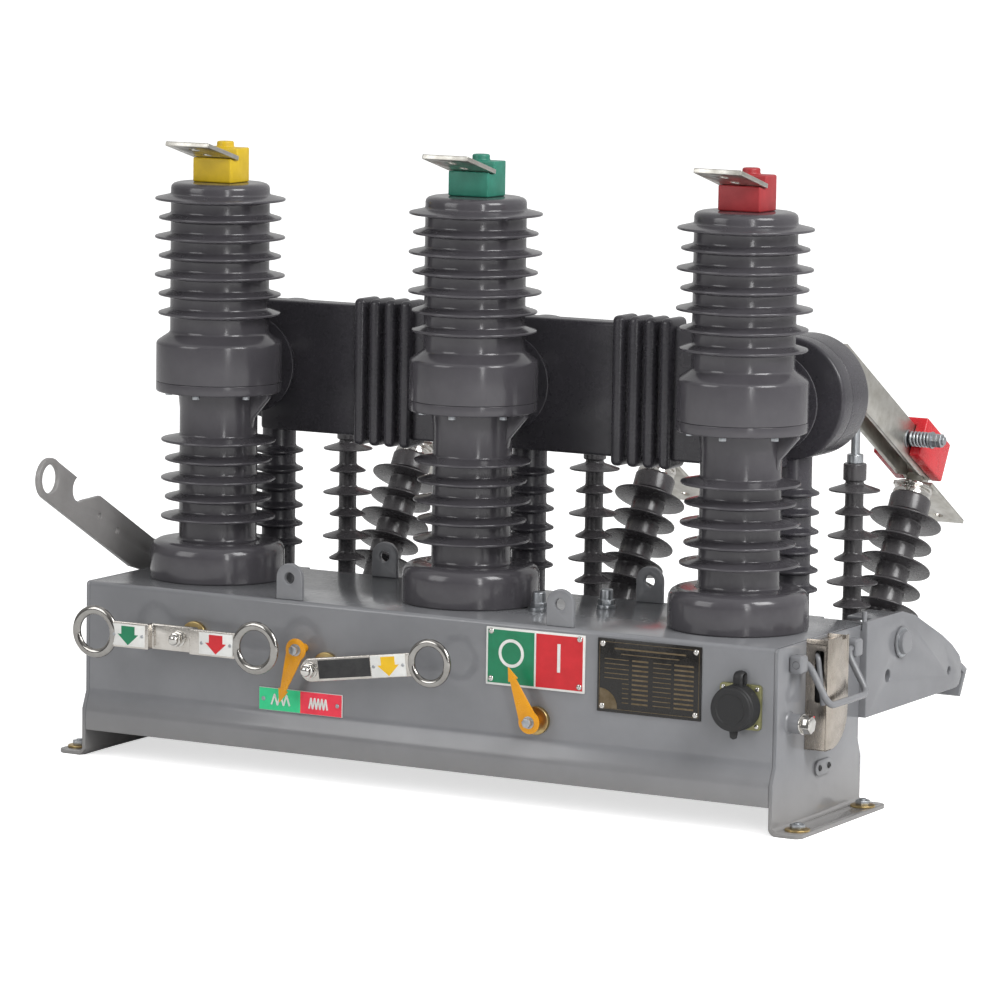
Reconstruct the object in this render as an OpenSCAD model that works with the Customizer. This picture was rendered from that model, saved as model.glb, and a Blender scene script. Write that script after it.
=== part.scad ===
// Outdoor vacuum circuit breaker with a three phase isolator behind it.
// Frame: origin at floor level in the middle of the four foot bolts,
// X to the right along the poles, Y to the isolator side, Z up. Millimetres.

/* [Layout] */
// distance between neighbouring poles
phase_pitch = 340; // [320:5:360]
// pole line behind the middle of the foot bolts
pole_y = 15; // [5:1:25]

/* [Case] */
// case length beyond the axis of each outer pole
end_margin = 102; // [96:1:130]
// depth of the case top, front to back
case_d = 232; // [226:2:250]
// how far the case back stands in below its top ledge
back_in = 22; // [18:1:26]
// how far the skirt at the bottom stands out, front and back
skirt_out = 8; // [5:0.5:10]
// height of the case
case_h = 174; // [170:1:190]
// clear height below the case
foot_h = 31; // [20:1:50]
// radius of the long top edges
edge_r = 5; // [3:0.5:8]
// thickness of the end plates and feet
plate_t = 5; // [4:0.5:8]
// how far each foot is turned out
foot_out = 34; // [32:1:45]
// distance between the bolts of one foot
bolt_gap = 168; // [150:2:176]
// hole radius in the feet
foot_hole_r = 7; // [5:0.5:8]

/* [Lifting lugs] */
// place of the lugs left and right of the middle
lug_x = 175; // [150:1:190]
// width of one lug
lug_w = 34; // [28:1:40]
// height of one lug
lug_h = 42; // [36:1:50]
// thickness of one lug
lug_t = 6; // [4:0.5:8]
// hole radius in the lugs
lug_hole_r = 6.5; // [5:0.5:9]

/* [Poles] */
// radius of the foot flange of a pole
pole_foot_r = 78.75; // [76:0.25:80]
// radius of the middle housing
housing_r = 73.4; // [72:0.2:75]
// core radius of the lower casting
low_core_r = 45.5; // [43:0.5:48]
// core radius of the upper casting
up_core_r = 57.5; // [55:0.5:60]
// rim radius of the large lower sheds
low_shed_r = 67; // [64:0.5:70]
// rim radius of the large upper sheds
up_shed_r = 75.8; // [72:0.2:78]
// rim thickness of the pole sheds
rim_t = 3; // [2:0.2:4]
// height of the parting line above the case
part_h = 231; // [228:1:236]
// height of the upper casting top above the case
pole_h = 463; // [455:1:475]

/* [Terminals] */
// width of a line terminal plate
term_w = 58; // [50:1:64]
// thickness of a line terminal plate
term_t = 5.5; // [4:0.5:7]
// reach of a line terminal plate in front of the pole axis
term_reach = 77; // [70:1:90]
// rise of the line terminal plate towards its tip, degrees
term_tilt = 15; // [10:1:20]
// bolt hole radius in the terminal plates
term_hole_r = 5.5; // [4:0.5:7]

/* [Current transformer] */
// radius of a transformer drum
drum_r = 70; // [66:0.5:72]
// height of the drum axis above the case
drum_h = 245; // [242:1:250]
// front face of the drums behind the pole axis
drum_front = 115; // [110:1:120]
// length of a drum
drum_l = 67; // [60:1:70]
// front face of the panels behind the pole axis
panel_front = 93; // [90:1:96]
// core radius of a transformer leg
leg_r = 20; // [16:0.5:22]

/* [Isolator frame] */
// thickness of the isolator side plates
bracket_t = 8; // [5:0.5:9]
// shaft behind the pole axis
shaft_y = 185; // [182:1:190]
// shaft below the case top
shaft_drop = 30.5; // [26:0.5:34]
// shaft radius
shaft_r = 12; // [9:0.5:13]
// tilt of the post insulators, degrees
post_tilt = 30; // [28:0.5:32]
// middle of the post seat behind the pole axis
seat_y = 362; // [358:1:368]
// middle of the post seat below the case top
seat_drop = 72; // [68:1:76]
// length of a post insulator
post_l = 208; // [204:1:210]
// rim radius of the large post sheds
post_shed_r = 43.5; // [38:0.5:46]

/* [Isolator blades] */
// hinge axis above the top of the posts
hinge_rise = 28; // [28:0.5:31]
// gap between the back of a drum and the blade tip
tip_gap = 38; // [34:1:44]
// height of a blade strip
blade_h = 45; // [36:1:46]
// thickness of a blade strip
strip_t = 5; // [3:0.5:6]
// clear width between the two strips of a blade
strip_gap = 21; // [20:0.5:24]
// lever pin below the shaft
pin_drop = 61.5; // [58:0.5:64]
// rim radius of the large pull insulator sheds
pull_shed_r = 30; // [24:0.5:32]

/* [Operating arm] */
// thickness of the operating arm
arm_t = 6; // [4:0.5:8]
// outer radius of the arm ring
arm_ring_r = 24.5; // [23:0.5:27]
// hole radius of the arm ring
arm_hole_r = 17; // [14:0.5:18]

/* [Front controls] */
// thickness of the front levers
lever_t = 4; // [3:0.5:5]
// reach of the trip lever to each ring
trip_reach = 108; // [100:1:115]
// outer radius of the trip lever rings
trip_ring_r = 30; // [27:0.5:32]
// hole radius of the trip lever rings
trip_hole_r = 20.5; // [17:0.5:22]
// reach of the charging handle to its ring
charge_reach = 155; // [140:1:165]
// rise of the charging handle, degrees
charge_rise = 8; // [4:0.5:12]
// outer radius of the charging ring
charge_ring_r = 27; // [24:0.5:30]
// hole radius of the charging ring
charge_hole_r = 19; // [16:0.5:20]
// length of the pointers from hub to tip
pointer_l = 66; // [60:1:72]

/* [Right end] */
// how far the stainless cover stands out
cover_out = 26; // [20:1:28]
// rod radius of the bail
bail_r = 4; // [3:0.25:4.5]

/* [Hidden] */
$fn = 48;
joint_gap = 0.3;
top_z = foot_h + case_h;
front_y = pole_y - case_d / 2;
back_y = pole_y + case_d / 2;
case_l = 2 * (phase_pitch + end_margin);
rear_y = back_y - back_in;
ledge_t = 6;
skirt_z = 56;
skirt_top = 76;
foot_l = rear_y - front_y + 2 * skirt_out;
foot_y = front_y - skirt_out;
end_x = case_l / 2;
wall_x = end_x + plate_t;
bolt_shift = 2;
bolt_x = wall_x + foot_out / 2 + bolt_shift;
foot_round = 10;
plug_1 = [100, -20];
plug_2 = [153, 42];
plug_rim_r = 10;
plug_rim_h = 4;
plug_r = 7;
plug_h = 22;
phases = [-phase_pitch, 0, phase_pitch];

// poles
flange_h = 30;
flange_round = 15;
low_pitch = 22.5;
low_first = 72;
low_count = 5;
low_drop = 4.5;
neck_top = 217.5;
housing_low = 219;
housing_top = 277;
shoulder_top = 288;
neck_flare = 20;
neck_step = 2;
housing_slope = 1.5;
up_first = 310.4;
up_top_gap = 19.6;
up_span = pole_h - up_top_gap - up_first;
up_aim = 22.16;
up_count = round(up_span / up_aim) + 1;
up_pitch = up_span / (up_count - 1);
up_drop = 4.2;
shed_step = 4.5;
dome_r = 10;

// terminals
term_rise = 27;
term_h = pole_h + term_rise;
term_back = -7;
cap_w = 52;
cap_front = 20;
cap_back = 22;
cap_low = 30;
cap_high = 40;
cap_split = 5.5;
knob_r = 10;
knob_h = 47;
knob_in = 2;
term_far = 59;
term_near = 31;

// transformer
drum_z = top_z + drum_h;
drum_y = pole_y + drum_front;
drum_back = drum_y + drum_l;
drum_edge = 7;
panel_y = pole_y + panel_front;
panel_t = drum_front + drum_edge - panel_front;
panel_low = 79;
panel_high = 75;
throat_r = 57;
throat_end_r = 47;
rib_count = 4;
rib_pitch = 20.4;
rib_w = 14;
rib_round = 9;
rib_low = 88;
rib_high = 84;
rib_front = 11;
rib_x = phase_pitch / 2;
leg_y = pole_y + 137;
leg_first = 26;
leg_pitch = 22;
leg_count = 6;
leg_shed_r = leg_r + 9;
shelf_t = 6;
shelf_l = 46;
shelf_w = 60;
shelf_drop = 50;

// isolator frame
iso_x = wall_x + joint_gap;
iso_out = iso_x + bracket_t;
sh_y = pole_y + shaft_y;
sh_z = top_z - shaft_drop;
st_y = pole_y + seat_y;
st_z = top_z - seat_drop;
seat_half = 36;
seat_t = 8;
lip_l = 36;
lip_t = 6;
hinge_d = post_l + hinge_rise;
hinge_y = st_y + hinge_d * sin(post_tilt);
hinge_z = st_z + hinge_d * cos(post_tilt);
br_front = rear_y + joint_gap;
br_flange = 50;
br_flange_t = 6;
br_top = top_z + 4;
br_low = top_z - 105;
br_knee = pole_y + 189;
slope_a = [36, 9];
slope_b = [111, 41];
nose_a = [142, 57];
nose_b = [162, 71];
tip_a = [169, 82];
tip_b = [168, 97];
tip_c = [161, 107];
toe_y = 154;
br_hole_r = 7;
br_hole = [152, 65];
br_hole_small_r = 4.5;
br_hole_small = [322, 82];
shaft_clear = 0.6;
flange_in = 32;
post_core_r = 20;
post_pitch = 29;
post_top_gap = 44.5;
post_count = 5;
post_cap_r = 24.5;
post_cap_h = 36;
post_edge = 3;
post_foot_r = 30;
post_foot_h = 12;
small_shed = 5;

// isolator linkage
lever_t2 = 8;
lever_w = 18;
pin_r = 4;
eye_r = 9;
hub_r = 18;
hub_l = 24;
collar_r = shaft_r + 5;
collar_t = 4;
pull_u = 209;
pull_y = hinge_y - pull_u * cos(post_tilt);
pull_top = hinge_z + pull_u * sin(post_tilt);
pin_z = sh_z - pin_drop;
lever_l = norm([pull_y - sh_y, pin_drop]);
lever_a = atan2(-pin_drop, pull_y - sh_y);
fork_t = 4;
fork_gap = 0.6;
rod_r = 5.25;
pull_core_r = 10.75;
pull_pitch = 27;
pull_low = 32;
pull_l = 193.5;
pull_cap_r = 13.5;
pull_cap_h = 20;
pull_ring_r = 9.5;
pull_ring_h = 10.5;
pull_foot_h = 8;
pull_step = 8;
fork_low = 18;
fork_h = 10;
neck_h = 26;
pin_clear = 0.4;
pull_first = 20;
pull_count = 7;
top_eye_t = 12;
top_eye_r = 11;
blade_l = (hinge_y - drum_back - tip_gap) / cos(post_tilt);
blade_cut = 8;
blade_heel = 24;
blade_top = 20;
heel_in = 6;
strip_x = strip_gap / 2;
strip_out = strip_x + strip_t;
hinge_pin_r = 7;
hinge_eye_r = 17;
tongue_r = 14;
tongue_t = 20;
pad_t = 5;
pad_w = 50;
pad_back = 105;
pad_front = 6;
pad_hole_u = 84;
spring_u = 80;
spring_r = 9;
spring_in = 22;
spring_out = 54;
bolt_out = 63;
bolt_head = 6;
spring_bolt_r = 5;
red_u0 = -8;
red_u1 = 69;
red_low = -16;
red_top = 33;
red_w = 30;
red_clear = 0.5;
contact_t = 20;
contact_pad_r = 34;
contact_pad_t = 10;
contact_root = 20;
contact_top = [42, 46];
contact_nose = [62, 34];
contact_low = [56, 6];
contact_heel = 32;

// operating arm
arm_x = iso_out + 5.2;
arm_ry = pole_y - 170.5;
arm_rz = top_z + 123.7;
arm_hub_r = 26;
arm_dy = sh_y - arm_ry;
arm_dz = arm_rz - sh_z;
arm_bend = [0.484 * arm_dy, -0.791 * arm_dz];
arm_knee = [0.622 * arm_dy, -0.61 * arm_dz];
arm_heel = [arm_dy + arm_hub_r / 3, -arm_dz - 0.92 * arm_hub_r];
arm_toe = [arm_dy + 0.7 * arm_hub_r, -arm_dz + 0.92 * arm_hub_r];
arm_peak = [105, -30.6];
arm_throat = [56.2, -32.3];
arm_tip = [56.6, -3.9];
mouth = [62, -18];
mouth_r = 15.3;
ring_low = [-10.7, -22];
ring_high = [8, 23];
rivet_r = 4;
rivet_1 = [102.8, -54.5];
rivet_2 = [141.3, -76.3];

// front controls
trip_x = -296;
trip_z = top_z - 50;
trip_low_y = front_y - 34;
trip_out_y = front_y - 44;
trip_h = 30;
trip_mid = 24;
jog_t = 4;
bush_r = 16;
bush_t = 6;
spindle_r = 7;
spindle_out = 8;
charge_x = -120;
charge_z = top_z - 70;
charge_y = front_y - 34;
charge_h = 27;
pointer_t = 2;
pointer_y = front_y - 19;
pointer_hub = 13;
tip_l = 16;
tip_w = 6.5;
neck_w = 4;
post_out = 6;
post_r = 5;
pt1 = [-150, top_z - 52];
pt2 = [152, top_z - 106];
pt1_a = -108.7;
pt2_a = 114.5;
label_t = 2;
skin = 0.3;
strip_w = 110;
strip_h = 26;
strip_at = [-154, top_z - 115];
pos_w = 124.5;
pos_h = 65;
pos_at = [148.8, top_z - 38.5];
name_w = 128;
name_h = 82;
name_at = [291, top_z - 47];
sock_at = [404, top_z - 66];
sock_w = 50;
sock_round = 4;
sock_t = 5;
sock_r = 20;
sock_l = 12;
scap_r = 25.5;
scap_l = 24;

// right end
cover_y0 = pole_y - 47;
cover_y1 = pole_y + 8;
cover_z0 = top_z - 120;
cover_z1 = top_z + 3;
bail_x = wall_x + 9;
bail_z = top_z - 20;
bail_y0 = pole_y - 61;
bail_y1 = pole_y + 38;
bail_dx = 26.8;
bail_dz = -46.6;
bail_step = 0.25;
block_x = 16;
block_z = 20;
block_gap = 12;
block_l = 18;

// one shed of an insulator as four profile points, core to rim and back
function shed_pts(core, rim, z, drop) =
  [[core, z - rim_t / 2 - drop / 2], [rim, z - rim_t / 2], [rim, z + rim_t / 2],
   [core, z + rim_t / 2 + drop]];

// profile laid out in Y and Z, pulled along X from x0 for len
module along_x(x0, len) {
  translate([x0, 0, 0]) rotate([90, 0, 90]) linear_extrude(len) children();
}

// profile laid out in X and Z, pulled towards the front from y0 for len
module to_front(y0, len) {
  translate([0, y0, 0]) rotate([90, 0, 0]) linear_extrude(len) children();
}

// round rod along X
module rod_x(r, x0, x1) {
  translate([x0, 0, 0]) rotate([0, 90, 0]) cylinder(r = r, h = x1 - x0);
}

// round rod along Y
module rod_y(r, y0, y1) {
  translate([0, y0, 0]) rotate([-90, 0, 0]) cylinder(r = r, h = y1 - y0);
}

// rectangle with round corners, centred
module round_rect(w, h, r) {
  square([w - 2 * r, h], center = true);
  square([w, h - 2 * r], center = true);
  for (sx = [-1, 1], sz = [-1, 1]) translate([sx * (w / 2 - r), sz * (h / 2 - r)]) circle(r = r);
}

// end view of the case: round top edge, ledge at the back and a skirt that stands out below
module case_profile() {
  difference() {
    polygon([[foot_y, foot_h], [foot_y, skirt_z], [front_y, skirt_top], [front_y, top_z],
      [back_y, top_z], [back_y, top_z - ledge_t], [rear_y, top_z - ledge_t], [rear_y, skirt_top],
      [rear_y + skirt_out, skirt_z], [rear_y + skirt_out, foot_h]]);
    difference() {
      translate([front_y - edge_r, top_z - edge_r]) square(2 * edge_r);
      translate([front_y + edge_r, top_z - edge_r]) circle(r = edge_r);
      translate([front_y + edge_r, top_z - edge_r]) square(2 * edge_r);
    }
  }
}

module mechanism_case() {
  color("#808184") along_x(-end_x, case_l) case_profile();
}

// end plate on the right, carried down to the floor and turned out as a foot
module end_plate() {
  along_x(end_x, plate_t) {
    case_profile();
    translate([foot_y, 0]) square([foot_l, foot_h + edge_r]);
  }
  translate([wall_x, 0, 0]) linear_extrude(plate_t) difference() {
    translate([0, foot_y + foot_l / 2]) {
      translate([0, -foot_l / 2]) square([foot_out - foot_round, foot_l]);
      translate([foot_out - foot_round, -foot_l / 2 + foot_round])
        square([foot_round, foot_l - 2 * foot_round]);
      for (s = [-1, 1]) translate([foot_out - foot_round, s * (foot_l / 2 - foot_round)])
        circle(r = foot_round);
    }
    for (s = [-1, 1]) translate([bolt_x - wall_x, s * bolt_gap / 2]) circle(r = foot_hole_r);
  }
}

module left_end_plate() {
  color("#87888B") mirror([1, 0, 0]) end_plate();
}

module right_end_plate() {
  color("#87888B") end_plate();
}

module lifting_lugs() {
  color("#7C7F85")
  for (sx = [-1, 1], y = [front_y + edge_r + lug_t, back_y - edge_r])
    to_front(y, lug_t) translate([sx * lug_x, top_z]) difference() {
      union() {
        translate([-lug_w / 2, 0]) square([lug_w, lug_h - lug_w / 2]);
        translate([0, lug_h - lug_w / 2]) circle(r = lug_w / 2);
      }
      translate([0, lug_h - lug_w / 2]) circle(r = lug_hole_r);
    }
}

module top_plugs() {
  color("#6F7276") {
    translate([plug_1[0], pole_y + plug_1[1], top_z]) plug();
    translate([plug_2[0], pole_y + plug_2[1], top_z]) plug();
  }
}

module plug() {
  cylinder(r = plug_rim_r, h = plug_rim_h);
  cylinder(r = plug_r, h = plug_h);
}

// lower casting: foot flange, shedded neck and the lower part of the housing
module lower_pole(x) {
  low_small = low_shed_r - shed_step;
  translate([x, pole_y, top_z]) rotate_extrude() {
    square([pole_foot_r, flange_h]);
    square([pole_foot_r - flange_round, flange_h + flange_round]);
    translate([pole_foot_r - flange_round, flange_h]) circle(r = flange_round);
    polygon(concat(
      [[0, flange_h], [low_core_r, flange_h]],
      [for (i = [0 : low_count - 1])
        each shed_pts(low_core_r, i % 2 == 0 ? low_shed_r : low_small,
          low_first + i * low_pitch, low_drop)],
      [[low_core_r, neck_top - neck_flare], [low_core_r + neck_step, neck_top],
       [housing_r - housing_slope, neck_top],
       [housing_r, housing_low], [housing_r, part_h], [0, part_h]]));
  }
}

module lower_pole_left() {
  color("#4B494B") lower_pole(phases[0]);
}

module lower_pole_middle() {
  color("#4B494B") lower_pole(phases[1]);
}

module lower_pole_right() {
  color("#4B494B") lower_pole(phases[2]);
}

// upper casting: housing and shedded barrel with a round top
module upper_pole(x) {
  up_small = up_shed_r - shed_step;
  translate([x, pole_y, top_z]) rotate_extrude() {
    polygon(concat(
      [[0, part_h + joint_gap], [housing_r, part_h + joint_gap], [housing_r, housing_top],
       [up_core_r, shoulder_top]],
      [for (i = [0 : up_count - 1])
        each shed_pts(up_core_r, (i > 0 && i % 2 == 0) ? up_shed_r : up_small,
          up_first + i * up_pitch, up_drop)],
      [[up_core_r, pole_h - dome_r], [0, pole_h - dome_r]]));
    translate([0, pole_h - dome_r - 1]) square([up_core_r - dome_r, dome_r + 1]);
    translate([up_core_r - dome_r, pole_h - dome_r]) circle(r = dome_r);
  }
}

module upper_pole_left() {
  color("#4B494B") upper_pole(phases[0]);
}

module upper_pole_middle() {
  color("#4B494B") upper_pole(phases[1]);
}

module upper_pole_right() {
  color("#4B494B") upper_pole(phases[2]);
}

// flat terminal plate rising to the front, g widens it to cut its slot
module terminal_bar(g) {
  translate([0, 0, term_h]) rotate([-term_tilt, 0, 0])
    translate([-term_w / 2 - g, -term_reach - g, -term_t / 2 - g])
      cube([term_w + 2 * g, term_reach + term_back + 2 * g, term_t + 2 * g]);
}

// soft cap on the pole top, split by the terminal plate
module phase_cap(x) {
  translate([x, pole_y, top_z]) difference() {
    union() {
      translate([-cap_w / 2, -cap_front, pole_h]) cube([cap_w, cap_front + cap_back, cap_low]);
      translate([-cap_w / 2, -cap_split, pole_h]) cube([cap_w, cap_split + cap_back, cap_high]);
      translate([0, cap_back - knob_r - knob_in, pole_h]) cylinder(r = knob_r, h = knob_h);
    }
    terminal_bar(joint_gap);
  }
}

module phase_cap_left() {
  color("#E6B91E") phase_cap(phases[0]);
}

module phase_cap_middle() {
  color("#328773") phase_cap(phases[1]);
}

module phase_cap_right() {
  color("#B93C41") phase_cap(phases[2]);
}

module line_terminal(x) {
  translate([x, pole_y, top_z]) difference() {
    terminal_bar(0);
    translate([0, 0, term_h]) rotate([-term_tilt, 0, 0])
      for (y = [term_near, term_far]) translate([0, -y, -term_t]) cylinder(r = term_hole_r, h = 2 * term_t);
  }
}

module line_terminal_left() {
  color("#BEBCB4") line_terminal(phases[0]);
}

module line_terminal_middle() {
  color("#BEBCB4") line_terminal(phases[1]);
}

module line_terminal_right() {
  color("#BEBCB4") line_terminal(phases[2]);
}

// three drums joined by panels, with groups of upright ribs and a throat to each pole
module current_transformer() {
  color("#2D2B2F") {
    for (x = phases) translate([x, drum_y, drum_z]) {
      rod_y(drum_r - drum_edge, 0, drum_l);
      rod_y(drum_r, drum_edge, drum_l);
      translate([0, drum_edge, 0]) rotate([-90, 0, 0])
        rotate_extrude() translate([drum_r - drum_edge, 0]) circle(r = drum_edge);
    }
    for (x = phases) difference() {
      translate([x, pole_y, drum_z]) rotate([-90, 0, 0])
        cylinder(r1 = throat_r + throat_r - throat_end_r, r2 = throat_end_r, h = panel_front + 1);
      translate([x, pole_y, drum_z - 2 * throat_r])
        cylinder(r = housing_r + joint_gap, h = 4 * throat_r);
      translate([x - 2 * throat_r, pole_y - 2 * throat_r, drum_z - 2 * throat_r])
        cube([4 * throat_r, 2 * throat_r, 4 * throat_r]);
    }
    along_x(-phase_pitch, 2 * phase_pitch)
      translate([panel_y, drum_z - panel_low]) square([panel_t, panel_low + panel_high]);
    for (s = [-1, 1], i = [0 : rib_count - 1])
      along_x(s * rib_x + (i - (rib_count - 1) / 2) * rib_pitch - rib_w / 2, rib_w)
        translate([panel_y + (panel_t - rib_front) / 2, drum_z + (rib_high - rib_low) / 2])
          round_rect(panel_t + rib_front, rib_low + rib_high, rib_round);
  }
}

// shedded leg below a drum
module transformer_leg(x) {
  difference() {
    translate([x, leg_y, top_z]) rotate_extrude() polygon(concat(
      [[0, -ledge_t], [leg_r, -ledge_t]],
      [for (i = [0 : leg_count - 1])
        each shed_pts(leg_r, leg_shed_r, leg_first + i * leg_pitch, low_drop)],
      [[leg_r, drum_h], [0, drum_h]]));
    translate([x, 0, drum_z]) rod_y(drum_r + joint_gap, drum_y - 1, drum_back + 1);
    translate([-phase_pitch - joint_gap, panel_y - joint_gap, drum_z - panel_low - joint_gap])
      cube([2 * phase_pitch + 2 * joint_gap, panel_t + 2 * joint_gap, 2 * drum_r]);
  }
}

module transformer_leg_left() {
  color("#343236") transformer_leg(phases[0]);
}

module transformer_leg_middle() {
  color("#343236") transformer_leg(phases[1]);
}

module transformer_leg_right() {
  color("#343236") transformer_leg(phases[2]);
}

// small angle shelves on the case back below the legs
module leg_shelves() {
  color("#808184")
  for (x = phases) translate([x - shelf_w / 2, rear_y, top_z - ledge_t]) {
    translate([0, 0, -shelf_t]) cube([shelf_w, shelf_l + back_in, shelf_t]);
    translate([0, 0, -shelf_drop]) cube([shelf_w, shelf_t, shelf_drop]);
  }
}

// side plate of the isolator on the right, with an inner top flange
module bracket() {
  along_x(iso_x, bracket_t) difference() {
    polygon(concat([[br_front, br_top], [br_knee, br_top]],
      [for (p = [slope_a, slope_b, nose_a, nose_b, tip_a, tip_b, tip_c]) [br_knee + p[0], br_top - p[1]]],
      [[br_knee + toe_y, br_low], [br_front, br_low]]));
    translate([sh_y, sh_z]) circle(r = shaft_r + shaft_clear);
    translate([pole_y + br_hole[0], top_z - br_hole[1]]) circle(r = br_hole_r);
    translate([pole_y + br_hole_small[0], top_z - br_hole_small[1]]) circle(r = br_hole_small_r);
  }
  translate([iso_x - br_flange, br_front, br_low])
    cube([br_flange + bracket_t / 2, br_flange_t, top_z - ledge_t - joint_gap - br_low]);
  translate([iso_x - flange_in, back_y + bracket_t, br_top - bracket_t / 2])
    cube([flange_in + bracket_t / 2, br_knee - back_y - 2 * bracket_t, bracket_t / 2]);
}

module left_bracket() {
  color("#8B8C8F") mirror([1, 0, 0]) bracket();
}

module right_bracket() {
  color("#8B8C8F") bracket();
}

// inclined seat between the side plates, with a lip turned down at the back
module post_beam() {
  color("#808184")
  along_x(-wall_x, 2 * wall_x) translate([st_y, st_z]) rotate(-post_tilt) {
    translate([-seat_half, -seat_t]) square([2 * seat_half, seat_t]);
    translate([seat_half - lip_t, -lip_l]) square([lip_t, lip_l]);
  }
}

// tilted post insulator on the seat
module post_insulator(x) {
  small = post_shed_r - small_shed;
  translate([x, st_y, st_z]) rotate([-post_tilt, 0, 0]) rotate_extrude() polygon(concat(
    [[0, 0], [post_foot_r, 0], [post_foot_r, post_foot_h], [post_core_r, post_foot_h]],
    [for (i = [0 : post_count - 1])
      each shed_pts(post_core_r, i % 2 == 0 ? post_shed_r : small,
        post_l - post_top_gap - (post_count - 1 - i) * post_pitch, low_drop)],
    [[post_core_r, post_l - post_cap_h], [post_cap_r, post_l - post_cap_h],
     [post_cap_r, post_l - post_edge], [post_cap_r - post_edge, post_l], [0, post_l]]));
}

module post_insulator_left() {
  color("#3B3A3D") post_insulator(phases[0]);
}

module post_insulator_middle() {
  color("#3B3A3D") post_insulator(phases[1]);
}

module post_insulator_right() {
  color("#3B3A3D") post_insulator(phases[2]);
}

// local frame at a blade hinge: profile X runs to the front along the blade, profile Y away from the post
module at_hinge(x, x0, len) {
  translate([x + x0, hinge_y, hinge_z]) rotate([-post_tilt, 0, 0])
    rotate([90, 0, 90]) linear_extrude(len) mirror([1, 0]) children();
}

// pad on the post with a tongue and the hinge pin
module hinge_terminals() {
  color("#B4B2AA")
  for (x = phases) {
    difference() {
      at_hinge(x, -pad_w / 2, pad_w)
        translate([-pad_back, -hinge_rise]) square([pad_back + pad_front, pad_t]);
      translate([x, hinge_y, hinge_z]) rotate([-post_tilt, 0, 0])
        translate([0, pad_hole_u, -hinge_rise - 1]) cylinder(r = term_hole_r, h = pad_t + 2);
    }
    at_hinge(x, -tongue_t / 2, tongue_t) {
      circle(r = tongue_r);
      translate([-tongue_r, -hinge_rise]) square([tongue_r + pad_front, hinge_rise]);
    }
    at_hinge(x, -strip_out, 2 * strip_out) circle(r = hinge_pin_r);
  }
}

// contact on the back of each drum, reaching between the strips of the blade
module fixed_contacts() {
  color("#B4B2AA")
  for (x = phases) {
    translate([x, 0, drum_z]) rod_y(contact_pad_r, drum_back + joint_gap, drum_back + contact_pad_t);
    along_x(x - contact_t / 2, contact_t) polygon(concat(
      [[drum_back + contact_pad_t - 1, drum_z - contact_root],
       [drum_back + contact_pad_t - 1, drum_z + contact_root]],
      [for (p = [contact_top, contact_nose, contact_low]) [drum_back + p[0], drum_z + p[1]]],
      [[drum_back + contact_heel, drum_z - contact_root]]));
  }
}

// pairs of strips tied by the contact bolt with its spring
module isolator_blades() {
  color("#BEBCB4")
  for (x = phases) {
    for (x0 = [-strip_out, strip_x]) at_hinge(x, x0, strip_t) difference() {
      union() {
        circle(r = hinge_eye_r);
        polygon([[0, hinge_eye_r], [0, -hinge_eye_r], [heel_in, -hinge_eye_r + 1],
          [blade_heel, -blade_h / 2], [blade_l - blade_cut, -blade_h / 2],
          [blade_l, -blade_h / 2 + blade_cut], [blade_l, blade_h / 2 - blade_cut],
          [blade_l - blade_cut, blade_h / 2], [blade_top, blade_h / 2]]);
      }
      circle(r = hinge_pin_r + pin_clear);
    }
    at_hinge(x, -strip_out - bolt_head, strip_out + bolt_head + bolt_out)
      translate([spring_u, 0]) circle(r = spring_bolt_r);
    at_hinge(x, spring_in, spring_out - spring_in) translate([spring_u, 0]) circle(r = spring_r);
  }
}

// red saddle over each blade at the hinge
module blade_covers() {
  color("#D73C41")
  for (x = phases) at_cover(x);
}

module at_cover(x) {
  for (s = [0, 1]) at_hinge(x, s == 0 ? -red_w : strip_out + red_clear, red_w - strip_out - red_clear)
    cover_side();
  at_hinge(x, -red_w, 2 * red_w)
    translate([red_u0, blade_h / 2 + red_clear])
      square([red_u1 - red_u0, red_top - blade_h / 2 - red_clear]);
}

module cover_side() {
  translate([red_u0, red_low]) square([red_u1 - red_u0, red_top - red_low]);
}

// slim pull insulators with a fork below and an eye above
module pull_insulators() {
  small = pull_shed_r - pull_step;
  color("#3B3A3D")
  for (x = phases) {
    for (s = [-1, 1]) difference() {
      translate([x + s * (lever_t2 / 2 + fork_gap + fork_t / 2) - fork_t / 2, pull_y, pin_z]) {
        rod_x(eye_r, 0, fork_t);
        translate([0, -eye_r, 0]) cube([fork_t, 2 * eye_r, fork_low + fork_h / 2]);
      }
      translate([x, pull_y, pin_z]) rod_x(pin_r + pin_clear, -hub_r, hub_r);
    }
    translate([x - lever_t2 / 2 - fork_gap - fork_t, pull_y - eye_r, pin_z + fork_low])
      cube([lever_t2 + 2 * fork_gap + 2 * fork_t, 2 * eye_r, fork_h]);
    translate([x, pull_y, pin_z]) {
      translate([0, 0, fork_low]) cylinder(r = rod_r, h = pull_top - pin_z - top_eye_r - fork_low);
      translate([0, 0, pull_low]) rotate_extrude() polygon(concat(
        [[0, 0], [pull_cap_r, 0], [pull_cap_r, pull_foot_h], [pull_core_r, pull_foot_h]],
        [for (i = [0 : pull_count - 1])
          each shed_pts(pull_core_r, i % 2 == 0 ? pull_shed_r : small,
            pull_first + i * pull_pitch, low_drop)],
        [[pull_core_r, pull_l], [pull_cap_r, pull_l], [pull_cap_r, pull_l + pull_cap_h],
         [pull_ring_r, pull_l + pull_cap_h], [pull_ring_r, pull_l + pull_cap_h + pull_ring_h],
         [0, pull_l + pull_cap_h + pull_ring_h]]));
    }
    translate([x, pull_y, pull_top]) {
      rod_x(top_eye_r, -top_eye_t / 2, top_eye_t / 2);
      translate([-top_eye_t / 2, -top_eye_t / 2, -neck_h]) cube([top_eye_t, top_eye_t, neck_h]);
    }
  }
}

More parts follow.
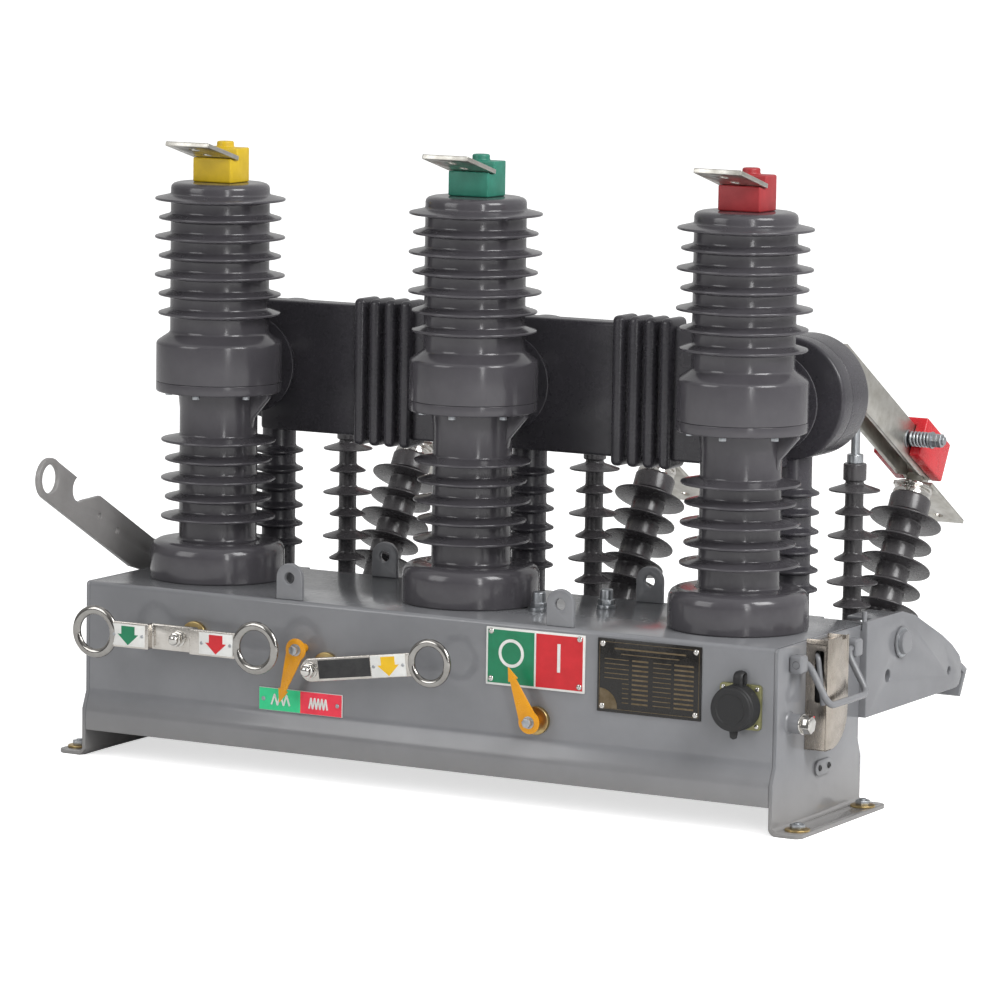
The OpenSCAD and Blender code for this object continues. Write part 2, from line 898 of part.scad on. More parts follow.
// shaft between the side plates with a lever at each phase
module isolator_shaft() {
  color("#8A8C90") {
    translate([0, sh_y, sh_z]) {
      rod_x(shaft_r, -arm_x + joint_gap, iso_out + collar_t);
      rod_x(collar_r, iso_out + shaft_clear, iso_out + collar_t - shaft_clear);
      rod_x(collar_r, -arm_x + joint_gap, -iso_out - shaft_clear);
    }
    for (x = phases) translate([0, sh_y, sh_z]) {
      rod_x_at(x, hub_r, hub_l);
      rotate([lever_a, 0, 0]) {
        translate([x - lever_t2 / 2, 0, -lever_w / 2]) cube([lever_t2, lever_l, lever_w]);
        translate([0, lever_l, 0]) {
          rod_x_at(x, eye_r, lever_t2);
          rod_x_at(x, pin_r, lever_t2 + 2 * fork_t + 4 * fork_gap);
        }
      }
    }
  }
}

// round boss along X, centred at x
module rod_x_at(x, r, len) {
  rod_x(r, x - len / 2, x + len / 2);
}

// flat operating arm on the left end of the shaft
module operating_arm() {
  color("#767678")
  along_x(-arm_x - arm_t, arm_t) difference() {
    union() {
      translate([arm_ry, arm_rz]) circle(r = arm_ring_r);
      translate([arm_ry, arm_rz]) polygon([ring_low, arm_bend, arm_heel, arm_toe, arm_knee,
        arm_peak, arm_throat, arm_tip, ring_high]);
      translate([sh_y, sh_z]) circle(r = arm_hub_r);
    }
    translate([arm_ry, arm_rz]) circle(r = arm_hole_r);
    translate([arm_ry + mouth[0], arm_rz + mouth[1]]) circle(r = mouth_r);
    for (p = [rivet_1, rivet_2]) translate([arm_ry + p[0], arm_rz + p[1]]) circle(r = rivet_r);
  }
}

// rocking lever with a ring at each end, its arms stepped forward
module trip_lever() {
  color("#A8A29C") {
    to_front(trip_low_y, lever_t) translate([trip_x, trip_z])
      square([2 * trip_mid, trip_h], center = true);
    for (s = [-1, 1]) {
      to_front(trip_low_y, trip_low_y - trip_out_y + lever_t)
        translate([trip_x + s * (trip_mid + jog_t / 2), trip_z]) square([jog_t, trip_h], center = true);
      to_front(trip_out_y, lever_t) translate([trip_x + s * trip_reach, trip_z]) difference() {
        union() {
          circle(r = trip_ring_r);
          translate([s > 0 ? trip_mid - trip_reach : 0, -trip_h / 2])
            square([trip_reach - trip_mid, trip_h]);
        }
        circle(r = trip_hole_r);
      }
    }
    translate([trip_x, 0, trip_z])
      rod_y(spindle_r, trip_low_y - lever_t - spindle_out, front_y - bush_t - skin);
  }
}

// charging handle with a ring at its end
module charging_handle() {
  color("#A8A29C") {
    to_front(charge_y, lever_t) translate([charge_x, charge_z]) rotate(charge_rise) difference() {
      union() {
        circle(r = charge_h / 2);
        translate([0, -charge_h / 2]) square([charge_reach, charge_h]);
        translate([charge_reach, 0]) circle(r = charge_ring_r);
      }
      translate([charge_reach, 0]) circle(r = charge_hole_r);
    }
    translate([charge_x, 0, charge_z])
      rod_y(spindle_r, charge_y - lever_t - spindle_out, front_y - bush_t - skin);
  }
}

// flat pointer with a round hub, turned by a from pointing right
module pointer(at, a) {
  to_front(pointer_y, pointer_t) translate(at) rotate(a) {
    circle(r = pointer_hub);
    polygon([[0, pointer_hub - 1], [pointer_l - tip_l, neck_w], [pointer_l - tip_l, tip_w],
      [pointer_l, 0], [pointer_l - tip_l, -tip_w], [pointer_l - tip_l, -neck_w], [0, -pointer_hub + 1]]);
  }
  translate([at[0], 0, at[1]]) rod_y(post_r, pointer_y - post_out, front_y - skin);
}

module charge_pointer() {
  color("#E19B0F") pointer(pt1, pt1_a);
}

module position_pointer() {
  color("#E19B0F") pointer(pt2, pt2_a);
}

// passivated bushes on the case front
module control_bushes() {
  color("#B08D45") {
    translate([trip_x, 0, trip_z]) rod_y(bush_r, front_y - bush_t, front_y);
    translate([charge_x, 0, charge_z]) rod_y(bush_r, front_y - bush_t, front_y);
    translate([pt2[0], 0, pt2[1]]) difference() {
      rod_y(bush_r, front_y - bush_t, front_y);
      rod_y(post_r + pin_clear, front_y - bush_t - 1, front_y + 1);
    }
  }
}

module charge_strip() {
  color("#32D796") to_front(front_y, label_t) translate(strip_at) square([strip_w, strip_h], center = true);
}

module position_plate() {
  color("#E4E4E0") to_front(front_y, label_t) translate(pos_at) square([pos_w, pos_h], center = true);
}

module rating_plate() {
  color("#1E1C1A") to_front(front_y, label_t) translate(name_at) square([name_w, name_h], center = true);
}

// flange and barrel of the control connector
module control_socket() {
  color("#6C6A4C") {
    to_front(front_y, sock_t) translate(sock_at) round_rect(sock_w, sock_w, sock_round);
    translate([sock_at[0], 0, sock_at[1]]) rod_y(sock_r, front_y - sock_t - sock_l, front_y - sock_t);
  }
}

module socket_cap() {
  color("#1B1B1C") translate([sock_at[0], front_y - sock_t - skin, sock_at[1]]) difference() {
    rod_y(scap_r, -scap_l, 0);
    rod_y(sock_r + joint_gap, -sock_l - joint_gap, 1);
  }
}

// stainless cover on the right end
module end_cover() {
  color("#A59B96") translate([wall_x, cover_y0, cover_z0])
    cube([cover_out, cover_y1 - cover_y0, cover_z1 - cover_z0]);
}

// bail of round rod, its ends turned out into the blocks
module release_bail() {
  bail_len = norm([bail_dx, bail_dz]);
  bail_a = atan2(-bail_dz, bail_dx);
  thin_r = bail_r - bail_step;
  color("#8E8F92") translate([bail_x, 0, bail_z]) {
    rod_y(thin_r, bail_y0 - block_gap - block_l, bail_y0 + bail_r / 2);
    rod_y(thin_r, bail_y1 - bail_r / 2, bail_y1 + block_gap + block_l);
    for (y = [bail_y0, bail_y1])
      translate([0, y, 0]) rotate([0, bail_a, 0]) rod_x(bail_r, -bail_r, bail_len + bail_r);
    translate([bail_dx, 0, bail_dz]) rod_y(thin_r, bail_y0, bail_y1);
  }
}

module bail_blocks() {
  color("#87888B")
  for (y = [bail_y0 - block_gap - block_l, bail_y1 + block_gap]) difference() {
    translate([wall_x, y, bail_z - block_z / 2]) cube([block_x, block_l, block_z]);
    translate([bail_x, 0, bail_z]) rod_y(bail_r + pin_clear, y - 1, y + block_l + 1);
  }
}

mechanism_case();
left_end_plate();
right_end_plate();
lifting_lugs();
top_plugs();
lower_pole_left();
lower_pole_middle();
lower_pole_right();
upper_pole_left();
upper_pole_middle();
upper_pole_right();
phase_cap_left();
phase_cap_middle();
phase_cap_right();
line_terminal_left();
line_terminal_middle();
line_terminal_right();
current_transformer();
transformer_leg_left();
transformer_leg_middle();
transformer_leg_right();
leg_shelves();
left_bracket();
right_bracket();
post_beam();
post_insulator_left();
post_insulator_middle();
post_insulator_right();
hinge_terminals();
fixed_contacts();
isolator_blades();
blade_covers();
pull_insulators();
isolator_shaft();
operating_arm();
trip_lever();
charging_handle();
charge_pointer();
position_pointer();
control_bushes();
charge_strip();
position_plate();
rating_plate();
control_socket();
socket_cap();
end_cover();
release_bail();
bail_blocks();
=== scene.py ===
import math
import bmesh
import bpy
from mathutils import Matrix, Vector
from types import SimpleNamespace as Settings


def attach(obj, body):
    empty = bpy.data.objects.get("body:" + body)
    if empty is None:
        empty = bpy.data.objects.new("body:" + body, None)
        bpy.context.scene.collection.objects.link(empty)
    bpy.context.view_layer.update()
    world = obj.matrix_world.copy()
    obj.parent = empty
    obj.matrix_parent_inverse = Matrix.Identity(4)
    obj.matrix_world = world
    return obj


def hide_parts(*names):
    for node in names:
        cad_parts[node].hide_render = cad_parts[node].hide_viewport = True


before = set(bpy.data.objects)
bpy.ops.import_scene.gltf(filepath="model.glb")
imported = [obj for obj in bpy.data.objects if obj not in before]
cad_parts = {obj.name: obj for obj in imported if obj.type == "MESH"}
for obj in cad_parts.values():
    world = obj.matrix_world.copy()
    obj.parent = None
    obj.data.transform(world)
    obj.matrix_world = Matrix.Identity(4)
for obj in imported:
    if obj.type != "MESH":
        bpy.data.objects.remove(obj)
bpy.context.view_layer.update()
print("loaded the frame")

mm = 0.001
phaseNames = ("left", "middle", "right")
phaseX = {"left": -0.340, "middle": 0.0, "right": 0.340}
poleY = 0.015
caseTop = 0.205
wallX = 0.447
mergeGap = 0.000002
foldAngle = math.radians(50)

# camera fitted to the photograph
viewSet = {"place": (2.86382, -5.13466, 1.09373), "azimuth": 28.768, "elevation": 7.463,
           "roll": 0.88, "lens": 187.888, "sensor": 36, "far": 50}


def setCamera():
    az, el, roll = (math.radians(viewSet[k]) for k in ("azimuth", "elevation", "roll"))
    right = Vector((math.cos(az), math.sin(az), 0))
    back = Vector((math.sin(az) * math.cos(el), -math.cos(az) * math.cos(el), math.sin(el)))
    up = back.cross(right)
    right2 = right * math.cos(roll) + up * math.sin(roll)
    up2 = up * math.cos(roll) - right * math.sin(roll)
    data = bpy.data.cameras.new("camera")
    data.lens = viewSet["lens"]
    data.sensor_width = viewSet["sensor"]
    data.clip_end = viewSet["far"]
    camera = bpy.data.objects.new("camera", data)
    bpy.context.scene.collection.objects.link(camera)
    turned = Matrix((right2, up2, back)).transposed().to_4x4()
    camera.matrix_world = Matrix.Translation(viewSet["place"]) @ turned
    bpy.context.scene.camera = camera


setCamera()


def hexLinear(code):
    parts = [int(code[i:i + 2], 16) / 255 for i in (1, 3, 5)]
    return tuple(c / 12.92 if c <= 0.04045 else ((c + 0.055) / 1.055) ** 2.4 for c in parts) + (1,)


# adds one node with its settings, values and links
def addNode(tree, kind, values=None, links=None, **settings):
    node = tree.nodes.new(kind)
    for key, value in settings.items():
        setattr(node, key, value)
    for key, value in (values or {}).items():
        node.inputs[key].default_value = value
    for key, source in (links or {}).items():
        tree.links.new(source, node.inputs[key])
    return node


# patch: size in mm of the slow change of tone, grain: size in mm of the fine relief,
# stretch: how much longer the grain is along X, Y and Z, relief: depth in mm
finishes = {
    # two-pack paint sprayed on sheet steel: soft gloss that mirrors the poles, faint orange peel
    "greyPaintSheet": {"tone": "#7F8083", "second": "#77787B", "rough": (0.12, 0.2), "patch": 90,
                       "grain": 7.0, "relief": 0.005, "dust": ("#96918A", 0.4, 75)},
    # the same paint on the operating arm, duller and warmer, its tone made lighter as painted light for the
    # arm's shaded face
    "greyPaintArm": {"tone": "#8E8C8B", "second": "#848281", "rough": (0.3, 0.42), "patch": 45,
                     "grain": 5.0, "relief": 0.012},
    # cast epoxy under a smooth silicone skin: dark grey, clear highlights
    "epoxyCast": {"tone": "#4C4A4E", "second": "#454347", "rough": (0.13, 0.22), "patch": 50,
                  "grain": 9.0, "relief": 0.012},
    # filled casting resin: dark with a satin bloom
    "resinBlack": {"tone": "#403E43", "second": "#38373B", "rough": (0.22, 0.34), "patch": 60,
                   "grain": 8.0, "relief": 0.012},
    # silicone rubber sheds: dark grey, waxy
    "siliconeShed": {"tone": "#4B494B", "second": "#434143", "rough": (0.2, 0.32), "patch": 30,
                     "grain": 6.0, "relief": 0.004},
    # injection moulded red ABS: clean gloss
    "absRed": {"tone": "#CF212B", "second": "#C21C25", "rough": (0.22, 0.3), "patch": 18,
               "grain": 1.5, "relief": 0.008},
    # tin plated copper bar: pale, soft lengthwise brush marks and dull patches
    "tinnedCopper": {"tone": "#C9C7C1", "second": "#B3B0A8", "metal": 1, "rough": (0.28, 0.46),
                     "patch": 16, "grain": 0.8, "relief": 0.012, "stretch": (1, 18, 1)},
    # brushed stainless sheet: warm grey, marks along its length
    "stainlessBrushed": {"tone": "#D2CEC8", "second": "#BFBAB3", "metal": 1, "rough": (0.16, 0.3),
                         "patch": 22, "grain": 0.7, "relief": 0.008, "stretch": (16, 1, 1)},
    # the end cover's sheet, brushed from top to bottom
    "stainlessUpright": {"tone": "#C4BBB0", "second": "#AEA59A", "metal": 1, "rough": (0.18, 0.32),
                         "patch": 26, "grain": 0.8, "relief": 0.01, "stretch": (1, 1, 18)},
    # polished stainless bar of the lever rings: mirrors the room, darker than the chrome
    "stainlessPolished": {"tone": "#A9A7A3", "second": "#999692", "metal": 1, "rough": (0.08, 0.16),
                          "patch": 12, "grain": 1.2, "relief": 0.004},
    # bright nickel chrome on nuts and bolt heads: near mirror
    "chromePlate": {"tone": "#D8D6D2", "second": "#C8C5C0", "metal": 1, "rough": (0.07, 0.14),
                    "patch": 6, "grain": 1.0, "relief": 0.004},
    # clear zinc plate: pale blue grey with a light spangle
    "zincPlate": {"tone": "#B7BABD", "second": "#A2A6AA", "metal": 1, "rough": (0.3, 0.45),
                  "patch": 5, "grain": 1.2, "relief": 0.01},
    # yellow passivated zinc: gold with rosy and greenish clouds
    "zincYellow": {"tone": "#C2AD78", "second": "#AC8F63", "metal": 1, "rough": (0.28, 0.42),
                   "patch": 6, "grain": 1.0, "relief": 0.01},
    # amber enamel on pressed steel: bright and smooth
    "amberEnamel": {"tone": "#E09A0C", "second": "#D68F08", "rough": (0.26, 0.36), "patch": 12,
                    "grain": 1.2, "relief": 0.008},
    # printed aluminium plates: flat, even colour under a thin clear coat
    "printWhite": {"tone": "#E3E3E0", "second": "#D8D8D4", "rough": (0.3, 0.4), "patch": 12,
                   "grain": 0.8, "relief": 0.004},
    # black etched brass plate: dark lacquer, the lines left in bare brass
    "lacquerBlack": {"tone": "#151311", "second": "#1C1916", "rough": (0.2, 0.34), "patch": 20,
                     "grain": 0.9, "relief": 0.006},
    "etchedBrass": {"tone": "#7C6F5B", "second": "#685B47", "metal": 1, "rough": (0.3, 0.45),
                    "patch": 8, "grain": 0.7, "relief": 0.006},
    # olive drab chromate on the connector flange
    "oliveChromate": {"tone": "#8C8A62", "second": "#777651", "metal": 0.6, "rough": (0.36, 0.5),
                      "patch": 9, "grain": 0.8, "relief": 0.01},
    # black moulded rubber: matt with a fine tooth; also used as painted shade inside the end cover
    "rubberBlackAndShade": {"tone": "#1A1A1B", "second": "#202021", "rough": (0.5, 0.66), "patch": 10,
                    "grain": 0.7, "relief": 0.02},
    # shadowed inside of holes and slots, blackened steel
    "steelBlackened": {"tone": "#3C3C3D", "second": "#464646", "metal": 0.7, "rough": (0.45, 0.6),
                       "patch": 8, "grain": 0.8, "relief": 0.01},
}
# moulded elastomer boots in the phase colours: smooth and a little waxy
bootTones = {"bootYellow": ("#D9B719", "#CDAB13"), "bootGreen": ("#2B7F6B", "#257461"),
             "bootRed": ("#A52D32", "#99272C")}
# the colours printed on the white plates
printTones = {"printGreen": ("#107E56", "#0D744E"), "printRed": ("#CB1C26", "#C01720"),
              "printMint": ("#2FD08E", "#28C684"), "printCoral": ("#F2354C", "#E62C44"),
              "printYellow": ("#EDBE10", "#E2B30A")}
for name, (tone, second) in bootTones.items():
    finishes[name] = {"tone": tone, "second": second, "rough": (0.36, 0.48), "patch": 14,
                      "grain": 1.2, "relief": 0.012}
for name, (tone, second) in printTones.items():
    finishes[name] = {"tone": tone, "second": second, "rough": (0.3, 0.4), "patch": 14,
                      "grain": 0.8, "relief": 0.004}
mats = {}
noiseSet = {"patch": {"Detail": 4, "Roughness": 0.6}, "grain": {"Detail": 3, "Roughness": 0.55},
            "toneFrom": (0.35, 0.68), "dullFrom": (0.75, 1.25), "bump": 0.6}


def makeFinish(name, spec):
    mat = bpy.data.materials.new(name)
    mat.use_nodes = True
    tree = mat.node_tree
    shader = tree.nodes["Principled BSDF"]
    shader.inputs["Metallic"].default_value = spec.get("metal", 0)
    coords = addNode(tree, "ShaderNodeTexCoord").outputs["Object"]
    long = spec.get("stretch", (1, 1, 1))
    along = addNode(tree, "ShaderNodeMapping", links={"Vector": coords},
                    values={"Scale": tuple(1 / k for k in long)}).outputs["Vector"]
    patch = addNode(tree, "ShaderNodeTexNoise", links={"Vector": coords},
                    values={"Scale": 1 / (spec["patch"] * mm), **noiseSet["patch"]})
    grain = addNode(tree, "ShaderNodeTexNoise", links={"Vector": along},
                    values={"Scale": 1 / (spec["grain"] * mm), **noiseSet["grain"]})
    least, most = noiseSet["toneFrom"]
    share = addNode(tree, "ShaderNodeMapRange", links={"Value": patch.outputs["Fac"]},
                    values={"From Min": least, "From Max": most})
    tone = addNode(tree, "ShaderNodeMix", data_type="RGBA", links={0: share.outputs["Result"]},
                   values={6: hexLinear(spec["tone"]), 7: hexLinear(spec["second"])}).outputs[2]
    if "dust" in spec:  # road dust that settles towards the bottom of the case
        dustTone, amount, top = spec["dust"]
        place = addNode(tree, "ShaderNodeSeparateXYZ", links={"Vector": coords})
        low = addNode(tree, "ShaderNodeMapRange", links={"Value": place.outputs["Z"]},
                      values={"From Min": top * mm, "From Max": 0.0, "To Max": amount})
        tone = addNode(tree, "ShaderNodeMix", data_type="RGBA",
                       links={0: low.outputs["Result"], 6: tone},
                       values={7: hexLinear(dustTone)}).outputs[2]
    tree.links.new(tone, shader.inputs["Base Color"])
    mix = addNode(tree, "ShaderNodeMath", operation="ADD",
                  links={0: patch.outputs["Fac"], 1: grain.outputs["Fac"]})
    least, most = noiseSet["dullFrom"]
    dull = addNode(tree, "ShaderNodeMapRange", links={"Value": mix.outputs[0]},
                   values={"From Min": least, "From Max": most,
                           "To Min": spec["rough"][0], "To Max": spec["rough"][1]})
    tree.links.new(dull.outputs["Result"], shader.inputs["Roughness"])
    relief = addNode(tree, "ShaderNodeBump", links={"Height": grain.outputs["Fac"]},
                     values={"Strength": noiseSet["bump"], "Distance": spec["relief"] * mm})
    tree.links.new(relief.outputs["Normal"], shader.inputs["Normal"])
    return mat


for finishName, spec in finishes.items():
    mats[finishName] = makeFinish(finishName, spec)
print("finishes made:", len(mats))


def closeMesh():
    bpy.ops.object.mode_set(mode="OBJECT")


def clearSelection():
    if bpy.context.object and bpy.context.object.mode != "OBJECT":
        closeMesh()
    bpy.ops.object.select_all(action="DESELECT")


# selects the pieces, the first one active
def takeUp(*objs):
    clearSelection()
    for obj in objs:
        obj.select_set(True)
    bpy.context.view_layer.objects.active = objs[0]


def openMesh(obj):
    takeUp(obj)
    bpy.ops.object.mode_set(mode="EDIT")


# closes the open mesh with all faces turned outward, close points merged first if asked
def closeTurned(merge=0.0):
    bpy.ops.mesh.select_all(action="SELECT")
    if merge:
        bpy.ops.mesh.remove_doubles(threshold=merge)
    bpy.ops.mesh.normals_make_consistent(inside=False)
    closeMesh()


# selects faces, edges or points of the open mesh by a test on each one
def pick(obj, kind, test):
    bpy.ops.mesh.select_mode(type=kind)
    bpy.ops.mesh.select_all(action="DESELECT")
    shape = bmesh.from_edit_mesh(obj.data)
    for part in {"FACE": shape.faces, "EDGE": shape.edges, "VERT": shape.verts}[kind]:
        part.select = bool(test(part))
    shape.select_flush_mode()
    bmesh.update_edit_mesh(obj.data)


def shapeBy(obj, kind, **settings):
    takeUp(obj)
    modifier = obj.modifiers.new("shape", kind)
    for key, value in settings.items():
        setattr(modifier, key, value)
    bpy.ops.object.modifier_apply(modifier=modifier.name)
    return obj


def softEdges(obj, edge, segments=2, **more):
    return shapeBy(obj, "BEVEL", width=edge * mm, segments=segments, limit_method="ANGLE", **more)


def cutAway(obj, tool):
    shapeBy(obj, "BOOLEAN", operation="DIFFERENCE", object=tool, solver="EXACT")
    bpy.data.objects.remove(tool)


def joinUp(objs):
    takeUp(*objs)
    if len(objs) > 1:
        bpy.ops.object.join()
    return bpy.context.view_layer.objects.active


def copyOf(obj, move=None):
    twin = bpy.data.objects.new(obj.name + ".copy", obj.data.copy())
    bpy.context.scene.collection.objects.link(twin)
    if move:
        twin.data.transform(move)
    return twin


def dropMaster(*objs):
    for obj in objs:
        bpy.data.objects.remove(obj)


# turns the shape's Z to a direction and moves it to a place
def standOn(obj, place, direction=(0, 0, 1), turn=0.0):
    aim = Vector((0, 0, 1)).rotation_difference(Vector(direction)).to_matrix().to_4x4()
    obj.data.transform(Matrix.Translation(place) @ aim @ Matrix.Rotation(turn, 4, "Z"))
    return obj


# a flat shape drawn in X and Y is set on the case front, or on the right end
frontTurn = Matrix(((1, 0, 0), (0, 0, -1), (0, 1, 0))).to_4x4()
endTurn = Matrix(((0, 0, 1), (1, 0, 0), (0, 1, 0))).to_4x4()


def setOn(obj, turn, place):
    obj.data.transform(Matrix.Translation(place) @ turn)
    return obj


def finishPiece(obj, name, body, finish, replaced=(), angle=38):
    takeUp(obj)
    bpy.ops.object.transform_apply(location=True, rotation=True, scale=True)
    bpy.ops.object.shade_smooth_by_angle(angle=math.radians(angle))
    obj.name = name
    obj.data.name = name
    obj.data.materials.clear()
    obj.data.materials.append(mats[finish])
    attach(obj, body)
    if replaced:
        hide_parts(*replaced)
    return obj


# a fixed piece in the case's grey paint
def paintPiece(obj, name, *replaced):
    return finishPiece(obj, name, "breaker", "greyPaintSheet", replaced)


# a copy of a CAD node, merged, with its sharp edges rounded
def roundedCopy(node, edge, segments=3, angle=32):
    obj = bpy.data.objects.new(node + "Round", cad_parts[node].data.copy())
    bpy.context.scene.collection.objects.link(obj)
    openMesh(obj)
    bpy.ops.mesh.select_all(action="SELECT")
    bpy.ops.mesh.remove_doubles(threshold=0.00001)
    bpy.ops.mesh.dissolve_limited(angle_limit=math.radians(0.5))
    bpy.ops.mesh.customdata_custom_splitnormals_clear()
    closeMesh()
    if edge:
        softEdges(obj, edge, segments, angle_limit=math.radians(angle), use_clamp_overlap=False)
    return obj


# a block between two corners in mm, its edges rounded
def addBlock(low, high, edge=0.6, segments=2):
    clearSelection()
    mid = [(a + b) / 2 * mm for a, b in zip(low, high)]
    bpy.ops.mesh.primitive_cube_add(size=1, location=mid)
    obj = bpy.context.object
    obj.scale = [(b - a) * mm for a, b in zip(low, high)]
    bpy.ops.object.transform_apply(location=True, rotation=True, scale=True)
    if edge:
        softEdges(obj, edge, segments)
    return obj


# corners of a profile (radius, height, softness in mm) drawn round
def softProfile(points, steps=4):
    line = []
    for i, (r, z, soft) in enumerate(points):
        here = Vector((r, z))
        if not soft or i in (0, len(points) - 1):
            line.append(here)
            continue
        before, after = Vector(points[i - 1][:2]) - here, Vector(points[i + 1][:2]) - here
        a = here + before.normalized() * min(soft, before.length * 0.49)
        b = here + after.normalized() * min(soft, after.length * 0.49)
        for k in range(steps + 1):
            t = k / steps
            line.append(a * (1 - t) ** 2 + here * 2 * t * (1 - t) + b * t * t)
    return line


# one point pulled out along a line of points in mm
def drawLine(points):
    clearSelection()
    bpy.ops.mesh.primitive_plane_add(size=0.01)
    obj = bpy.context.object
    openMesh(obj)
    bpy.ops.mesh.select_mode(type="VERT")
    bpy.ops.mesh.select_all(action="SELECT")
    bpy.ops.mesh.merge(type="CENTER")
    points = [Vector(p) * mm for p in points]
    bpy.ops.transform.translate(value=points[0])
    for a, b in zip(points, points[1:]):
        bpy.ops.mesh.extrude_vertices_move(TRANSFORM_OT_translate={"value": b - a})
    return obj


# turned shape: the soft profile drawn and spun about Z
def spinShape(profile, segments=64, steps=4):
    obj = drawLine([(p.x, 0, p.y) for p in softProfile(profile, steps)])
    bpy.ops.mesh.select_all(action="SELECT")
    bpy.ops.mesh.spin(steps=segments, angle=2 * math.pi, center=(0, 0, 0), axis=(0, 0, 1))
    closeTurned(merge=mergeGap)
    return obj


# flat shape cut from sheet: outline in X and Y, pulled up by its thickness
def cutSheet(outline, thick, edge=0.0):
    obj = drawLine([(x, y, 0) for x, y in outline])
    bpy.ops.mesh.select_all(action="SELECT")
    bpy.ops.mesh.edge_face_add()
    bpy.ops.mesh.extrude_region_move(TRANSFORM_OT_translate={"value": (0, 0, thick * mm)})
    closeTurned()
    if edge:
        softEdges(obj, edge)
    return obj


# rod bent along a line of points in mm, its corners rounded
def bendRod(points, radius, corner):
    obj = drawLine(points)
    pick(obj, "VERT", lambda v: len(v.link_edges) == 2)
    bpy.ops.mesh.bevel(offset=corner * mm, segments=6, affect="VERTICES")
    closeMesh()
    bpy.ops.object.convert(target="CURVE")
    obj = bpy.context.object
    obj.data.bevel_depth = radius * mm
    obj.data.bevel_resolution = 4
    obj.data.use_fill_caps = True
    bpy.ops.object.convert(target="MESH")
    return bpy.context.object


# chamfer, its height and the rounded edge of a hex head as shares of its width, and a pan
# head's profile and cross (half length, half width, bottom, top) as shares of its radius
headSet = {"chamfer": 0.07, "rise": 0.035, "edge": 0.025, "cross": (0.55, 0.1, 0.48, 0.8),
           "pan": ((0, 0, 0), (1, 0, 0), (1, 0.3, 0.25), (0.55, 0.62, 0.3), (0, 0.66, 0))}


# hex head or nut on a washer, standing on Z = 0
def hexHead(across, high, washer=0.0, washerHigh=0.0, dome=0.0, stud=0.0, studHigh=0.0):
    parts = []
    clearSelection()
    base = washerHigh if washer else 0
    bpy.ops.mesh.primitive_cylinder_add(vertices=6, radius=across / math.sqrt(3) * mm,
                                        depth=high * mm, location=(0, 0, (base + high / 2) * mm))
    nut = bpy.context.object
    bpy.ops.object.transform_apply(location=True, rotation=True, scale=True)
    openMesh(nut)
    pick(nut, "FACE", lambda f: f.normal.z > 0.9)
    bpy.ops.mesh.inset(thickness=across * headSet["chamfer"] * mm)
    bpy.ops.transform.translate(value=(0, 0, across * headSet["rise"] * mm))
    closeMesh()
    softEdges(nut, across * headSet["edge"])
    parts.append(nut)
    if washer:
        parts.append(spinShape([(0, 0, 0), (washer, 0, 0.3), (washer, washerHigh, 0.4),
                                (0, washerHigh, 0)], 28, 2))
    top = base + high
    if dome:
        parts.append(spinShape([(dome, top, 0), (dome, top + dome * 0.5, dome * 0.3),
                                (dome * 0.7, top + dome * 0.95, dome * 0.4),
                                (0, top + dome * 1.05, 0)], 24))
    if stud:
        parts.append(spinShape([(stud, top - 1, 0), (stud, top + studHigh, 0.6),
                                (0, top + studHigh, 0)], 20, 2))
    return joinUp(parts)


# round screw head with a shallow cross, standing on Z = 0
def panHead(radius):
    head = spinShape([[radius * k for k in point] for point in headSet["pan"]], 20)
    long, wide, low, high = (radius * k for k in headSet["cross"])
    for turn in (0, 1):
        bar = addBlock((-long, -wide, low), (long, wide, high), 0)
        bar.data.transform(Matrix.Rotation(turn * math.pi / 2, 4, "Z"))
        cutAway(head, bar)
    return head


# copies of one fastener on many places, joined as one piece
def fastenAll(master, places, name, finish="zincPlate", body="breaker"):
    made = [standOn(copyOf(master), Vector(p) * mm, d, t) for p, d, t in places]
    return finishPiece(joinUp(made), name, body, finish)


front, back, right = (0, -1, 0), (0, 1, 0), (1, 0, 0)
up, down = (0, 0, 1), (0, 0, -1)

# mechanism case: folded sheet with a skirt that stands out near the bottom
caseSet = {"half": 442, "front": -101, "back": 131, "rear": 109, "low": 31, "top": 205,
           "ledge": 6, "skirt": 8, "skirtLow": 56, "skirtTop": 76, "topEdge": 5, "fold": 3, "edge": 0.8}


def makeCase():
    s = Settings(**caseSet)
    outline = [(s.front - s.skirt, s.low), (s.front - s.skirt, s.skirtLow),
               (s.front, s.skirtTop), (s.front, s.top), (s.back, s.top),
               (s.back, s.top - s.ledge), (s.rear, s.top - s.ledge),
               (s.rear, s.skirtTop), (s.rear + s.skirt, s.skirtLow),
               (s.rear + s.skirt, s.low)]
    case = cutSheet(outline, 2 * s.half)
    case.data.transform(Matrix.Translation((-s.half * mm, 0, 0)) @ endTurn)
    openMesh(case)

    def longEdge(e, y, z):
        return all(abs(v.co.y - y * mm) < 0.0002 and abs(v.co.z - z * mm) < 0.0002 for v in e.verts)
    pick(case, "EDGE", lambda e: longEdge(e, s.front, s.top))
    bpy.ops.mesh.bevel(offset=s.topEdge * mm, segments=6)
    pick(case, "EDGE", lambda e: longEdge(e, s.front, s.skirtTop)
         or longEdge(e, s.front - s.skirt, s.skirtLow)
         or longEdge(e, s.rear, s.skirtTop) or longEdge(e, s.rear + s.skirt, s.skirtLow))
    bpy.ops.mesh.bevel(offset=s.fold * 2 * mm, segments=6)
    closeMesh()
    softEdges(case, s.edge, angle_limit=foldAngle)
    paintPiece(case, "caseShell", "mechanism_case")


makeCase()

# end plates turned out as feet, the fold at the floor with its bend radius
plateSet = {"edge": 1.0, "bend": 9, "hollow": 4.5, "inner": 442, "outer": 447, "thick": 5}


